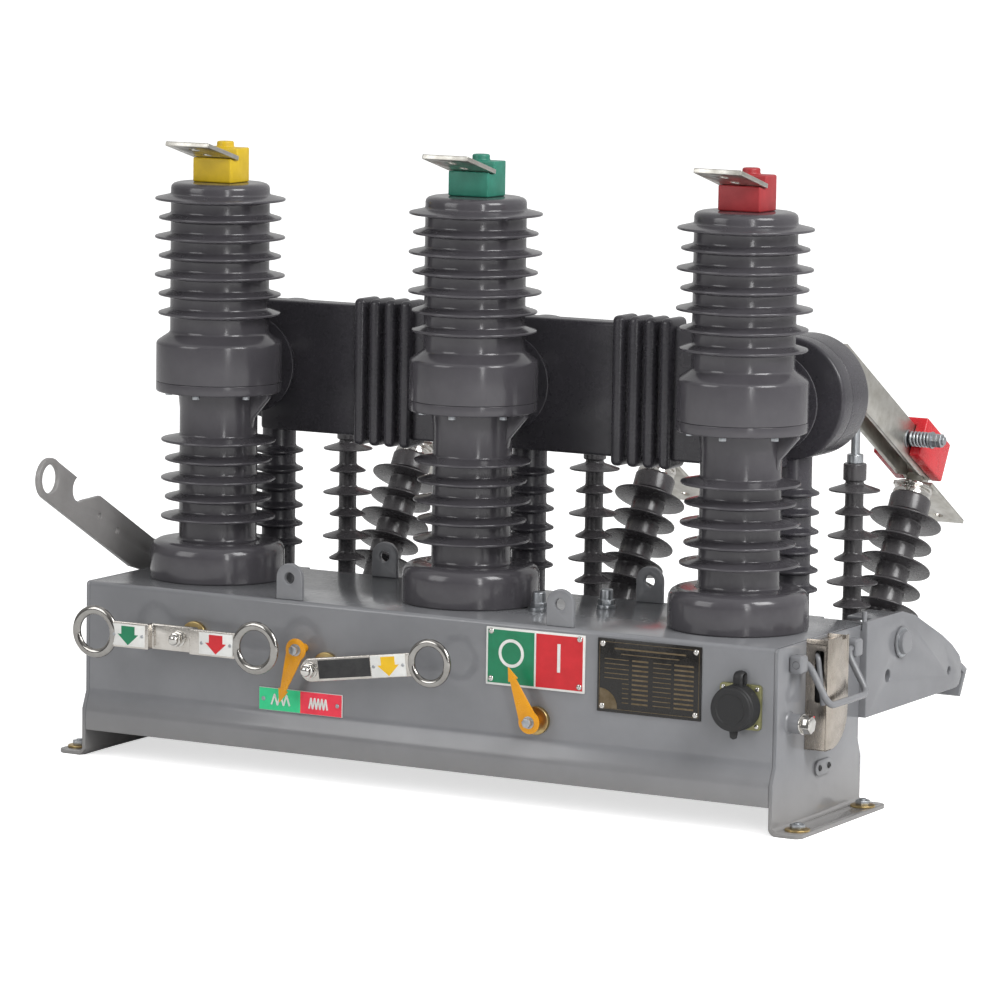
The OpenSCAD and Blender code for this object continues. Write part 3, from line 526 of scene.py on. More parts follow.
def makeEndPlate(side, sign):
    s = Settings(**plateSet)
    plate = roundedCopy(side + "_end_plate", 0)
    openMesh(plate)

    def foldEdge(e, x, z):
        near = all(abs(v.co.x * sign / mm - x) < 0.5 and abs(v.co.z / mm - z) < 0.5 for v in e.verts)
        return near and (e.verts[0].co - e.verts[1].co).length > 0.1
    for x, z, size in ((s.inner, 0, s.bend), (s.outer, s.thick, s.hollow)):
        pick(plate, "EDGE", lambda e: foldEdge(e, x, z))
        bpy.ops.mesh.bevel(offset=size * mm, segments=8)
    closeMesh()
    softEdges(plate, s.edge, angle_limit=foldAngle, use_clamp_overlap=False)
    paintPiece(plate, side + "EndPlate", side + "_end_plate")


makeEndPlate("left", -1)
makeEndPlate("right", 1)
print("case and end plates made")

# plain sheet and bar parts keep their CAD form and get rounded edges
# (body, slot, finish): {node: (name, edge in mm, segments)}
roundedSet = {
    ("breaker", "case_paint", "greyPaintSheet"): {
        "lifting_lugs": ("liftingLugs", 1.2, 3), "leg_shelves": ("legShelves", 1.0, 3),
        "left_bracket": ("leftSidePlate", 1.4, 3), "right_bracket": ("rightSidePlate", 1.4, 3),
        "post_beam": ("postBeam", 1.2, 3)},
    ("breaker", "tinned_copper", "tinnedCopper"): {
        "line_terminal_left": ("lineTerminalLeft", 0.9, 3),
        "line_terminal_middle": ("lineTerminalMiddle", 0.9, 3),
        "line_terminal_right": ("lineTerminalRight", 0.9, 3),
        "hinge_terminals": ("hingeTerminals", 0.8, 2), "fixed_contacts": ("fixedContacts", 1.4, 3)},
    ("breaker", "cap_yellow", "bootYellow"): {"phase_cap_left": ("phaseBootLeft", 2.2, 4)},
    ("breaker", "cap_green", "bootGreen"): {"phase_cap_middle": ("phaseBootMiddle", 2.2, 4)},
    ("breaker", "cap_red", "bootRed"): {"phase_cap_right": ("phaseBootRight", 2.2, 4)},
    ("blades", "cover_red", "absRed"): {"blade_covers": ("bladeCovers", 2.4, 4)},
    ("isolator_shaft", "plated_steel", "zincPlate"): {"isolator_shaft": ("isolatorShaft", 0.9, 2)},
    # the arm takes the lightened copy of the case paint: painted light
    ("isolator_shaft", "arm_paint", "greyPaintArm"): {"operating_arm": ("operatingArm", 1.0, 3)},
    ("charging_handle", "stainless", "stainlessBrushed"): {"charging_handle": ("chargingHandle", 1.6, 4)},
    ("charge_pointer", "pointer_amber", "amberEnamel"): {"charge_pointer": ("chargePointer", 0.5, 2)},
    ("position_pointer", "pointer_amber", "amberEnamel"): {"position_pointer": ("positionPointer", 0.5, 2)},
    ("breaker", "passivated_steel", "zincYellow"): {"control_bushes": ("controlBushes", 0.9, 3)},
    ("breaker", "strip_label", "printWhite"): {"charge_strip": ("chargeStrip", 0.4, 2)},
    ("breaker", "position_label", "printWhite"): {"position_plate": ("positionPlate", 0.5, 2)},
    ("breaker", "rating_label", "lacquerBlack"): {"rating_plate": ("ratingPlate", 0.5, 2)},
    ("breaker", "socket_olive", "oliveChromate"): {"control_socket": ("controlSocket", 0.8, 2)},
}
for (body, slotName, finish), group in roundedSet.items():
    for node, (name, edge, segments) in group.items():
        finishPiece(roundedCopy(node, edge, segments), name, body, finish, (node,))
print("sheet and bar parts rounded")

# levers on the front: the trip lever's folds moved to where the labels end, rings of round bar
leverSet = {"edge": 1.6, "folds": ((-322, -11), (-270, -3.5)), "tripX": (-404, -188), "tripZ": 155,
            "tripY": -147, "tripR": (20.5, 30), "chargeX": -120, "chargeZ": 135, "chargeY": -137,
            "reach": 155, "rise": 8, "chargeR": (19, 27), "over": 0.5, "bar": 3.6}


def leverRing(inner, outer):
    s = Settings(**leverSet)
    mid, wide = (inner + outer) / 2, (outer - inner) / 2 + s.over
    turns = [math.radians(15 * k) for k in range(25)]
    return spinShape([(mid + wide * math.cos(a), s.bar * math.sin(a), 0) for a in turns], 64)


def makeLevers():
    s = Settings(**leverSet)
    lever = roundedCopy("trip_lever", 0)
    openMesh(lever)
    for x, move in s.folds:
        pick(lever, "VERT", lambda v: abs(v.co.x / mm - x) < 3)
        bpy.ops.transform.translate(value=(move * mm, 0, 0))
    closeMesh()
    softEdges(lever, s.edge, 4, angle_limit=foldAngle, use_clamp_overlap=False)
    finishPiece(lever, "tripLever", "trip_lever", "stainlessBrushed", ("trip_lever",))
    rings = [standOn(leverRing(*s.tripR), Vector((x, s.tripY, s.tripZ)) * mm, front)
             for x in s.tripX]
    finishPiece(joinUp(rings), "tripRings", "trip_lever", "stainlessPolished")
    rise = math.radians(s.rise)
    place = Vector((s.chargeX + s.reach * math.cos(rise), s.chargeY,
                    s.chargeZ + s.reach * math.sin(rise))) * mm
    ring = standOn(leverRing(*s.chargeR), place, front)
    finishPiece(ring, "chargingRing", "charging_handle", "stainlessPolished")


makeLevers()


# four corners of one shed: core, rim and back to the core
def shed(core, rim, z, thick=2.6, drop=4.5, under=2.2):
    return [(core, z - thick / 2 - under, 1.6), (rim, z - thick / 2, thick * 0.45),
            (rim, z + thick / 2, thick * 0.45), (core, z + thick / 2 + drop, 2.6)]


# poles: cast foot, shedded neck and housing below, shedded barrel above
poleSet = {"footR": 78.75, "footHigh": 45, "footRound": 15, "lowCore": 45.5, "lowBig": 67,
           "lowSmall": 62.5, "lowFirst": 72, "lowPitch": 22.5, "lowCount": 5, "neckTop": 219,
           "housingR": 73.4, "part": 231, "housingTop": 277, "shoulder": 288,
           "upCore": 57.5, "upBig": 75.8, "upSmall": 71.3, "upFirst": 310.4, "upPitch": 22.167,
           "upCount": 7, "top": 463, "dome": 13, "segments": 112, "seam": 0.3,
           "web": [(44, 172), (44, 220), (70, 220), (70, 215), (48, 190)], "webThick": 9}


def makePoles():
    s = Settings(**poleSet)
    lower = [(0, 0, 0), (s.footR - 1.5, 0, 0), (s.footR, 1.5, 1),
             (s.footR, s.footHigh, s.footRound), (s.lowCore, s.footHigh, 5)]
    for i in range(s.lowCount):
        lower += shed(s.lowCore, s.lowBig if i % 2 == 0 else s.lowSmall,
                      s.lowFirst + i * s.lowPitch)
    lower += [(s.lowCore, s.neckTop - 20, 3), (s.lowCore + 2, s.neckTop, 3),
              (s.housingR, s.neckTop, 2.5), (s.housingR, s.part, 0.7), (0, s.part, 0)]
    upper = [(0, s.part + s.seam, 0), (s.housingR, s.part + s.seam, 0.7),
             (s.housingR, s.housingTop, 3.2), (s.upCore, s.shoulder, 3)]
    for i in range(s.upCount):
        big = i > 0 and i % 2 == 0
        upper += shed(s.upCore, s.upBig if big else s.upSmall, s.upFirst + i * s.upPitch,
                      drop=4.2)
    upper += [(s.upCore, s.top, s.dome), (0, s.top, 0)]
    # web under the housing flange, towards the right
    web = setOn(cutSheet(s.web, s.webThick, 1.5), frontTurn, (0, s.webThick / 2 * mm, 0))
    lowMaster = joinUp([spinShape(lower, s.segments), web])
    upMaster = spinShape(upper, s.segments)
    for name in phaseNames:
        place = Matrix.Translation((phaseX[name], poleY, caseTop))
        finishPiece(copyOf(lowMaster, place), "poleFoot" + name.title(), "breaker",
                    "epoxyCast", ("lower_pole_" + name,))
        finishPiece(copyOf(upMaster, place), "poleBarrel" + name.title(), "breaker",
                    "epoxyCast", ("upper_pole_" + name,))
    dropMaster(lowMaster, upMaster)


makePoles()
print("poles made")

# current transformer: drums, panels with round ridges, throats to the poles, legs
ctSet = {"drumR": 70, "drumFront": 130, "drumLong": 67, "edge": 4.5, "seam": 23, "rim": 12, "dish": 2,
         "height": 450, "panelFront": 108, "panelBack": 137, "panelLow": 371, "panelHigh": 525,
         "ridgeFront": 97, "ridgeLow": 362, "ridgeHigh": 534, "ridgeWide": 14.5, "ridgePitch": 20.4,
         "ridgeRound": 6.2, "ridgeCount": 4,
         "throatStart": 86, "throatR": 58, "throatEndR": 47,
         "legR": 20, "legShedR": 29, "legY": 152, "legFirst": 26, "legPitch": 22, "legCount": 6,
         "legLow": -6, "legTop": 184}


def makeTransformer():
    s = Settings(**ctSet)
    parts = []
    r, seam, end, dish = s.drumR, s.seam, s.drumLong, s.drumR - s.rim
    drum = spinShape([(0, 0, 0), (r, 0, s.edge), (r, seam, 0.4), (r - 0.8, seam + 0.6, 0),
                      (r, seam + 1.2, 0.4), (r, end, 4), (dish, end, 1),
                      (dish - s.dish, end - s.dish, 1), (0, end - s.dish, 0)], 96)
    throat = spinShape([(0, s.throatStart, 0), (s.throatR, s.throatStart, 2),
                        (s.throatEndR, s.panelFront + 1, 0), (0, s.panelFront + 1, 0)], 72)
    for name in phaseNames:
        parts.append(standOn(copyOf(drum), (phaseX[name], s.drumFront * mm, s.height * mm), back))
        parts.append(standOn(copyOf(throat), (phaseX[name], 0, s.height * mm), back))
    dropMaster(drum, throat)
    reach = phaseX["right"] / mm
    parts.append(addBlock((-reach, s.panelFront, s.panelLow),
                          (reach, s.panelBack, s.panelHigh), 4, 5))
    ridge = addBlock((-s.ridgeWide / 2, s.ridgeFront, s.ridgeLow),
                     (s.ridgeWide / 2, s.panelBack + 4, s.ridgeHigh), s.ridgeRound, 6)
    for side in (-1, 1):
        for i in range(s.ridgeCount):
            x = side * reach / 2 + (i - (s.ridgeCount - 1) / 2) * s.ridgePitch
            parts.append(copyOf(ridge, Matrix.Translation((x * mm, 0, 0))))
    dropMaster(ridge)
    finishPiece(joinUp(parts), "transformerBody", "breaker", "resinBlack",
                ("current_transformer",))
    leg = [(0, s.legLow, 0), (s.legR, s.legLow, 1)]
    for i in range(s.legCount):
        leg += shed(s.legR, s.legShedR, s.legFirst + i * s.legPitch)
    leg += [(s.legR, s.legTop, 1), (0, s.legTop, 0)]
    legMaster = spinShape(leg, 64)
    for name in phaseNames:
        place = Matrix.Translation((phaseX[name], s.legY * mm, caseTop))
        finishPiece(copyOf(legMaster, place), "transformerLeg" + name.title(), "breaker",
                    "resinBlack", ("transformer_leg_" + name,))
    dropMaster(legMaster)


makeTransformer()
print("transformer made")

# tilted post insulators and the slim pull insulators of the isolator
postSet = {"core": 20, "big": 43.5, "small": 38.5, "long": 208, "topGap": 44.5, "pitch": 29, "count": 5,
           "capR": 24.5, "capHigh": 36, "collar": 14, "band": 5, "groove": 4, "footR": 30, "footHigh": 12,
           "seatY": 377, "seatZ": 133, "tilt": 30}
pullSet = {"core": 10.75, "big": 30, "small": 22, "first": 20, "pitch": 27, "count": 7, "low": 32,
           "long": 193.5, "capR": 13.5, "capHigh": 20, "ringR": 9.5, "ringHigh": 10.5, "rodR": 5.25,
           "y": 314, "pinZ": 113, "topZ": 441.88, "eyeR": 11, "eyeThick": 12, "forkLow": 18, "forkHigh": 10,
           "cheekIn": 4.6, "cheek": 4, "cheekR": 9, "pinHole": 4.4, "footHigh": 8, "neck": 6,
           "neckLow": 26, "neckHigh": 4, "rodTop": 20, "cheekLow": 7, "cheekHigh": 22}


def makePosts():
    s = Settings(**postSet)
    line = [(0, 0, 0), (s.footR, 0, 1), (s.footR, s.footHigh, 2), (s.core, s.footHigh, 3)]
    for i in range(s.count):
        z = s.long - s.topGap - (s.count - 1 - i) * s.pitch
        line += shed(s.core, s.big if i % 2 == 0 else s.small, z, thick=2.0, drop=6.5, under=1.5)
    top, low, cap = s.long, s.long - s.collar, s.long - s.capHigh
    line += [(s.core, cap, 1), (s.capR, cap, 1.5), (s.capR, low, 3), (0, low, 0)]
    master = spinShape(line, 80)
    r = s.capR - 1.5
    collar = spinShape([(0, low, 0), (r, low, 0.6), (r, low + s.band, 0.6),
                        (r - s.groove, low + s.band + 1.5, 1), (r - s.groove, top - s.band, 0.6),
                        (r, top - s.band + 1, 0.8), (r, top, 0.8), (0, top, 0)], 64)
    lean = Matrix.Rotation(math.radians(-s.tilt), 4, "X")
    for name in phaseNames:
        place = Matrix.Translation((phaseX[name], s.seatY * mm, s.seatZ * mm)) @ lean
        finishPiece(copyOf(master, place), "postInsulator" + name.title(), "breaker",
                    "siliconeShed", ("post_insulator_" + name,))
        finishPiece(copyOf(collar, place), "postCollar" + name.title(), "breaker",
                    "chromePlate")
    dropMaster(master, collar)


def makePulls():
    s = Settings(**pullSet)
    line = [(0, 0, 0), (s.capR, 0, 1), (s.capR, s.footHigh, 1.5), (s.core, s.footHigh, 1.5)]
    for i in range(s.count):
        line += shed(s.core, s.big if i % 2 == 0 else s.small, s.first + i * s.pitch,
                     thick=1.8, drop=6.5, under=1.2)
    end = s.long + s.capHigh
    line += [(s.core, s.long, 1), (s.capR, s.long, 1.5), (s.capR, end, 2), (0, end, 0)]
    rubber = spinShape(line, 56)
    base = s.pinZ + s.low
    fork, top, ring = s.pinZ + s.forkLow, base + end, base + end + s.ringHigh
    rod = spinShape([(0, fork, 0), (s.rodR, fork, 0), (s.rodR, top, 0), (s.ringR, top, 0.8),
                     (s.ringR, ring, 1.2), (s.rodR, ring, 0.6), (s.rodR, s.topZ - s.rodTop, 0),
                     (0, s.topZ - s.rodTop, 0)], 28)
    half = s.eyeThick / 2
    eye = spinShape([(0, -half, 0), (s.eyeR, -half, 1), (s.eyeR, half, 1), (0, half, 0)], 32)
    standOn(eye, (0, 0, s.topZ * mm), right)
    neck = addBlock((-s.neck, -s.neck, s.topZ - s.neckLow), (s.neck, s.neck, s.topZ - s.neckHigh), 1.2, 3)
    wide = s.cheekIn + s.cheek
    cross = addBlock((-wide, -s.cheekR, fork), (wide, s.cheekR, fork + s.forkHigh), 1, 2)
    cheeks = []
    for start in (-wide, s.cheekIn):
        eyelet = spinShape([(s.pinHole, 0, 0.4), (s.cheekR, 0, 0.6), (s.cheekR, s.cheek, 0.6),
                            (s.pinHole, s.cheek, 0.4), (s.pinHole, 0, 0)], 32, 2)
        standOn(eyelet, (start * mm, 0, s.pinZ * mm), right)
        bar = addBlock((start, -s.cheekR, s.pinZ + s.cheekLow),
                       (start + s.cheek, s.cheekR, s.pinZ + s.cheekHigh), 0.5)
        cheeks += [eyelet, bar]
    metal = joinUp([rod, eye, neck, cross] + cheeks)
    places = [Matrix.Translation((phaseX[n], s.y * mm, 0)) for n in phaseNames]
    rubbers = [copyOf(rubber, p @ Matrix.Translation((0, 0, base * mm))) for p in places]
    metals = [copyOf(metal, p) for p in places]
    finishPiece(joinUp(rubbers), "pullInsulators", "pull_insulators", "siliconeShed",
                ("pull_insulators",))
    finishPiece(joinUp(metals), "pullRodEnds", "pull_insulators", "zincPlate")
    dropMaster(rubber, metal)


makePosts()
makePulls()
print("isolator insulators made")

# blades: two strips each side of the hinge, cut from bar
bladeSet = {"hingeY": 495, "hingeZ": 337.382, "tilt": 30, "eye": 17, "half": 22.5, "heel": 24,
            "topHeel": 20, "cut": 8, "inner": 10.5, "thick": 5, "edge": 0.7}


def makeBlades():
    s = Settings(**bladeSet)
    low = min(v.co.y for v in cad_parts["isolator_blades"].data.vertices) / mm
    lean = math.radians(s.tilt)
    tip = (s.hingeY - low - (s.half - s.cut) * math.sin(lean)) / math.cos(lean)
    outline = [(s.eye * math.cos(a), s.eye * math.sin(a))
               for a in [math.radians(95 + 10 * k) for k in range(18)]]
    outline += [(6, 1 - s.eye), (s.heel, -s.half), (tip - s.cut, -s.half), (tip, s.cut - s.half),
                (tip, s.half - s.cut), (tip - s.cut, s.half), (s.topHeel, s.half)]
    strip = cutSheet(outline, s.thick, s.edge)
    along, rise = math.cos(lean), math.sin(lean)
    onHinge = Matrix(((0, 0, -1), (-along, rise, 0), (rise, along, 0))).to_4x4()
    made = []
    for name in phaseNames:
        for x in (-s.inner, s.inner + s.thick):
            place = Matrix.Translation((phaseX[name] + x * mm, s.hingeY * mm, s.hingeZ * mm))
            made.append(copyOf(strip, place @ onHinge))
    dropMaster(strip)
    finishPiece(joinUp(made), "isolatorBlades", "blades", "tinnedCopper",
                ("isolator_blades",))


makeBlades()

# contact springs with their nuts on the blade bolts
springSet = {"y": 425.72, "z": 377.38, "coilR": 7.8, "wire": 1.6, "start": 19, "end": 45, "turns": 6,
             "boltEnd": 63, "boltR": 5.2, "across": 15, "flange": (15.6, 17.6, 10.5), "head": -15.5}


def makeSprings():
    s = Settings(**springSet)
    clearSelection()
    bpy.ops.mesh.primitive_circle_add(vertices=10, radius=s.wire * mm, location=(s.coilR * mm, 0, 0),
                                      rotation=(math.pi / 2, 0, 0))
    coil = bpy.context.object
    bpy.ops.object.transform_apply(location=True, rotation=True, scale=True)
    shapeBy(coil, "SCREW", angle=2 * math.pi, screw_offset=(s.end - s.start) / s.turns * mm,
            iterations=s.turns, steps=24, axis="Z")
    openMesh(coil)
    closeTurned(merge=mergeGap)
    coil.data.transform(Matrix.Translation((0, 0, s.start * mm)))
    nut = standOn(hexHead(s.across, 6, washer=10, washerHigh=2), (0, 0, (s.end + 1) * mm))
    lock = standOn(hexHead(s.across, 5), (0, 0, (s.end + 9.6) * mm))
    stud = spinShape([(s.boltR, s.start, 0), (s.boltR, s.boltEnd, 1), (0, s.boltEnd, 0)], 24)
    low, high, r = s.flange
    flange = spinShape([(0, low, 0), (r, low, 0.5), (r, high, 0.6), (0, high, 0)], 28)
    head = standOn(hexHead(s.across, 5, washer=10, washerHigh=1), (0, 0, s.head * mm), down)
    master = joinUp([coil, nut, lock, stud, flange, head])
    made = [standOn(copyOf(master), (phaseX[n], s.y * mm, s.z * mm), right) for n in phaseNames]
    finishPiece(joinUp(made), "contactSprings", "blades", "zincPlate")
    dropMaster(master)


makeSprings()

# fasteners: one master each, copied where it is used
fastenSet = {"foot": (466, 84, 5), "washerHigh": 2.6, "flange": (58, 424), "flangeCount": 6,
             "flangeTurn": 5, "trip": (-296, -139, 155), "charging": (-120, -139, 135),
             "chargePointer": (-150, -122, 153), "positionPointer": (152, -122, 99), "face": -103,
             "positionX": (93.2, 204.6), "positionZ": (141, 194.5), "ratingX": (233.5, 348.5),
             "ratingZ": (123.5, 193), "stripX": (-203, -105), "stripZ": (90,),
             "socketX": (383.5, 424.5), "socketZ": (118.5, 159.5), "socketFace": -106}
footNut = hexHead(15, 4.5, stud=4, studHigh=2)
footWasher = spinShape([(0, 0, 0), (14, 0, 0.4), (14, 2.2, 0.8), (9, 2.6, 0.4), (0, 2.6, 0)], 32)
smallBolt = hexHead(10, 5, washer=7, washerHigh=1.2)
flangeBolt = hexHead(8, 4, washer=5.5, washerHigh=0.8)
domeNut = hexHead(15, 7, washer=9.5, washerHigh=1.6, dome=6.2)
plateScrew = panHead(3.4)
smallScrew = panHead(2.6)


def frontSpots(xs, zs, face, turn):
    return [((x, face, z), front, turn) for x in xs for z in zs]


def placeFasteners():
    s = Settings(**fastenSet)
    footX, footY, footTop = s.foot
    feet = [(sx * footX, sy * footY) for sx in (-1, 1) for sy in (-1, 1)]
    fastenAll(footWasher, [((x, y, footTop), up, 0) for x, y in feet], "footWashers", "zincYellow")
    fastenAll(footNut, [((x, y, footTop + s.washerHigh), up, x + y) for x, y in feet], "footNuts")
    r, low = s.flange
    turns = [math.radians(s.flangeTurn + 360 / s.flangeCount * k) for k in range(s.flangeCount)]
    fastenAll(flangeBolt, [((x / mm + r * math.sin(a), poleY / mm - r * math.cos(a), low), down, a)
                           for x in phaseX.values() for a in turns], "housingBolts")
    fastenAll(domeNut, [(s.trip, front, 0.2)], "tripNut", "chromePlate", "trip_lever")
    fastenAll(domeNut, [(s.charging, front, 0.5)], "chargingNut", "chromePlate", "charging_handle")
    fastenAll(smallBolt, [(s.chargePointer, front, 0.1)], "chargePointerScrew", body="charge_pointer")
    fastenAll(smallBolt, [(s.positionPointer, front, 0.4)], "positionPointerScrew", body="position_pointer")
    fastenAll(plateScrew, frontSpots(s.positionX, s.positionZ, s.face, 0.4), "positionPlateScrews",
              "chromePlate")
    fastenAll(plateScrew, frontSpots(s.ratingX, s.ratingZ, s.face, 0.9), "ratingPlateScrews", "chromePlate")
    fastenAll(smallScrew, frontSpots(s.stripX, s.stripZ, s.face, 0.6), "chargeStripScrews")
    fastenAll(smallScrew, frontSpots(s.socketX, s.socketZ, s.socketFace, 0.3), "socketScrews",
              "chromePlate")


placeFasteners()
print("fasteners placed")

# printed plates: colour fields and plain signs in place of wording
signSet = {"face": -103, "thick": 0.35, "mid": 148.8, "wide": 119.5, "z": (136.5, 196.5), "gap": 1.2,
           "offset": 30, "ringOut": 16, "ringIn": 12.5, "bar": 3.8, "signZ": 171, "raised": 0.3,
           "stripX": (-208.6, -154, -99.4), "stripZ": (77.4, 102.6), "zigzags": ((-192, 3), (-142, 5)),
           "zigWide": 24, "zigZ": (84, 96), "zigR": 1.1}


def frontField(x, z, name, finish):
    s = Settings(**signSet)
    field = addBlock((x[0], s.face - s.thick, z[0]), (x[1], s.face + 0.2, z[1]), 0.1, 1)
    finishPiece(field, name, "breaker", finish)


def makeSigns():
    s = Settings(**signSet)
    half, top = s.wide / 2, s.face - s.thick
    frontField((s.mid - half, s.mid - s.gap), s.z, "positionFieldOff", "printGreen")
    frontField((s.mid + s.gap, s.mid + half), s.z, "positionFieldOn", "printRed")
    ring = spinShape([(s.ringIn, 0, 0), (s.ringOut, 0, 0), (s.ringOut, s.raised, 0),
                      (s.ringIn, s.raised, 0), (s.ringIn, 0, 0)], 48)
    setOn(ring, frontTurn, Vector((s.mid - s.offset, top, s.signZ)) * mm)
    x = s.mid + s.offset
    bar = addBlock((x - s.bar / 2, top - s.raised, s.signZ - s.ringOut),
                   (x + s.bar / 2, top, s.signZ + s.ringOut), 0.1, 1)
    finishPiece(joinUp([ring, bar]), "positionSigns", "breaker", "printWhite")
    frontField(s.stripX[:2], s.stripZ, "chargeFieldLow", "printMint")
    frontField(s.stripX[1:], s.stripZ, "chargeFieldFull", "printCoral")
    springs = []  # a slack and a wound spring as plain zigzags
    for x, peaks in s.zigzags:
        line = [(x + s.zigWide * k / (2 * peaks), top - 0.2, s.zigZ[k % 2]) for k in range(2 * peaks + 1)]
        springs.append(bendRod(line, s.zigR, 0.6))
    finishPiece(joinUp(springs), "chargeSigns", "breaker", "printWhite")


makeSigns()

# lever labels: white plates with a down arrow, screws at both ends
labelSet = {"wide": 45, "high": 25, "thick": 0.8, "pinX": 19, "pinScale": 0.75, "tripX": (-357.5, -239),
            "tripFace": -149, "chargeFace": -139, "along": 103, "grip": (11, 79), "gripHalf": 10.5,
            "arrow": [(-9, 10.5), (9, 10.5), (9, 1), (14, 1), (0, -11.5), (-14, 1), (-9, 1)]}


def leverLabel(name, body, centre, face, turn, finish):
    s = Settings(**labelSet)
    lean = Matrix.Rotation(-turn, 4, "Y")
    place = Matrix.Translation(Vector((centre[0], face, centre[1])) * mm)
    plate = addBlock((-s.wide / 2, -s.thick, -s.high / 2), (s.wide / 2, 0, s.high / 2), 0.3)
    plate.data.transform(place @ lean)
    finishPiece(plate, name + "Label", body, "printWhite")
    arrow = cutSheet(s.arrow, 0.25)
    arrow.data.transform(place @ lean @ Matrix.Translation((0, -s.thick * mm, 0)) @ frontTurn)
    finishPiece(arrow, name + "Arrow", body, finish)
    pins = []
    for sign in (-1, 1):
        pin = copyOf(smallScrew)
        pin.data.transform(Matrix.Scale(s.pinScale, 4))
        spot = Matrix.Translation((sign * s.pinX * mm, -s.thick * mm, 0))
        pin.data.transform(place @ lean @ spot @ frontTurn)
        pins.append(pin)
    finishPiece(joinUp(pins), name + "LabelPins", body, "zincPlate")


def makeLabels():
    s, lever = Settings(**labelSet), Settings(**leverSet)
    for name, x, finish in zip(("tripOff", "tripOn"), s.tripX, ("printGreen", "printRed")):
        leverLabel(name, "trip_lever", (x, lever.tripZ), s.tripFace, 0, finish)
    rise = math.radians(lever.rise)
    centre = (lever.chargeX + s.along * math.cos(rise), lever.chargeZ + s.along * math.sin(rise))
    leverLabel("charging", "charging_handle", centre, s.chargeFace, rise, "printYellow")
    grip = addBlock((s.grip[0], -0.7, -s.gripHalf), (s.grip[1], 0, s.gripHalf), 0.3)
    place = Matrix.Translation(Vector((lever.chargeX, s.chargeFace, lever.chargeZ)) * mm)
    grip.data.transform(place @ Matrix.Rotation(-rise, 4, "Y"))
    finishPiece(grip, "chargingGripStrip", "charging_handle", "steelBlackened")


makeLabels()

# rating plate: brass frame lines, a corner fan and ruled lines, no wording
ratingSet = {"face": -103, "left": 230, "right": 352, "low": 121, "high": 195, "line": 0.5, "lift": 0.2,
             "heads": ((248, 336, 187.6, 189.4), (256, 328, 182.2, 183.2)), "rows": 10, "first": 176,
             "pitch": 5.3, "columns": ((236, 266), (270, 290), (296, 318), (322, 346)),
             "strokes": ((0, 0.9), (-0.5, 1.4)), "fan": 22, "fanTop": 150, "fanSide": 258}


def makeRating():
    s = Settings(**ratingSet)

    def rule(x0, x1, z0, z1):
        return addBlock((x0, s.face - s.lift, z0), (x1, s.face + 0.1, z1), 0)
    lines = [rule(s.left, s.right, s.high, s.high + s.line), rule(s.left, s.right, s.low - s.line, s.low),
             rule(s.left - s.line, s.left, s.low, s.high), rule(s.right, s.right + s.line, s.low, s.high)]
    lines += [rule(*head) for head in s.heads]
    for k in range(s.rows):
        z = s.first - k * s.pitch
        for i, (x0, x1) in enumerate(s.columns):
            low, high = s.strokes[i % 2]
            start = s.fanSide if i == 0 and z <= s.fanTop else x0
            lines.append(rule(start, x1, z + low, z + high))
    turns = [math.radians(9 * k) for k in range(11)]
    fan = cutSheet([(0, 0)] + [(s.fan * math.cos(a), s.fan * math.sin(a)) for a in turns], s.lift)
    setOn(fan, frontTurn, Vector((s.left + 0.4, s.face, s.low + 0.4)) * mm)
    finishPiece(joinUp(lines + [fan]), "ratingLines", "breaker", "etchedBrass")


makeRating()
print("plates and labels made")

# rubber cap on the control socket, with its strap and pull tab
socketSet = {"x": 404, "z": 139, "face": -106, "capR": 25.5, "capLong": 24, "bore": 20.3, "step": 1.2,
             "tab": [(-5, 0), (-4, -8), (0, -10), (4, -8), (5, 0)], "tabThick": 4, "tabOut": 12,
             "strapX": 2, "strapR": 2.2, "strapWide": 2.6,
             "strap": ((-10, 20), (-11, 37), (1, 39), (1, 20))}


def makeSocketCap():
    s = Settings(**socketSet)
    r, end = s.capR, s.capLong
    cap = spinShape([(s.bore, 0, 0), (r, 0, 1.5), (r, end - 6, 1.0), (r - s.step, end - 5, 0.8),
                     (r - s.step, end, 3), (r - 8, end, 1), (r - 9, end - s.step, 1),
                     (0, end - s.step, 0)], 64)
    standOn(cap, Vector((s.x, s.face - 0.3, s.z)) * mm, front)
    tab = cutSheet(s.tab, s.tabThick, 1.2)
    setOn(tab, frontTurn, Vector((s.x, s.face - s.tabOut, s.z - r + 1)) * mm)
    x = s.x + s.strapX
    strap = bendRod([(x, s.face + y, s.z + z) for y, z in s.strap], s.strapR, 5)
    middle = Matrix.Translation((x * mm, 0, 0))
    strap.data.transform(middle @ Matrix.Diagonal((s.strapWide, 1, 1, 1)) @ middle.inverted())
    finishPiece(joinUp([cap, tab, strap]), "socketRubberCap", "breaker", "rubberBlackAndShade",
                ("socket_cap",))


makeSocketCap()

# right end: folded stainless cover with a slot and its rod, bail, side bolt, small oval plate
endSet = {"out": 26, "y0": -32, "y1": 23, "low": 85, "high": 208, "sheet": 1.5, "sweep": 40, "sweepY": 12,
          "notch": (18, 6, 4), "slotX": (11, 22), "slotDrop": (70, 12), "lidDrop": 5, "flap": 14,
          "rod": ((8, 7, -18), (14, 1, -17), (19, 0, -50), (22, -1, -72)), "rodR": 3.0,
          "rearIn": (3, 1), "lidIn": 1, "insideLow": (6, 4), "insideHigh": (14, -4, -8)}


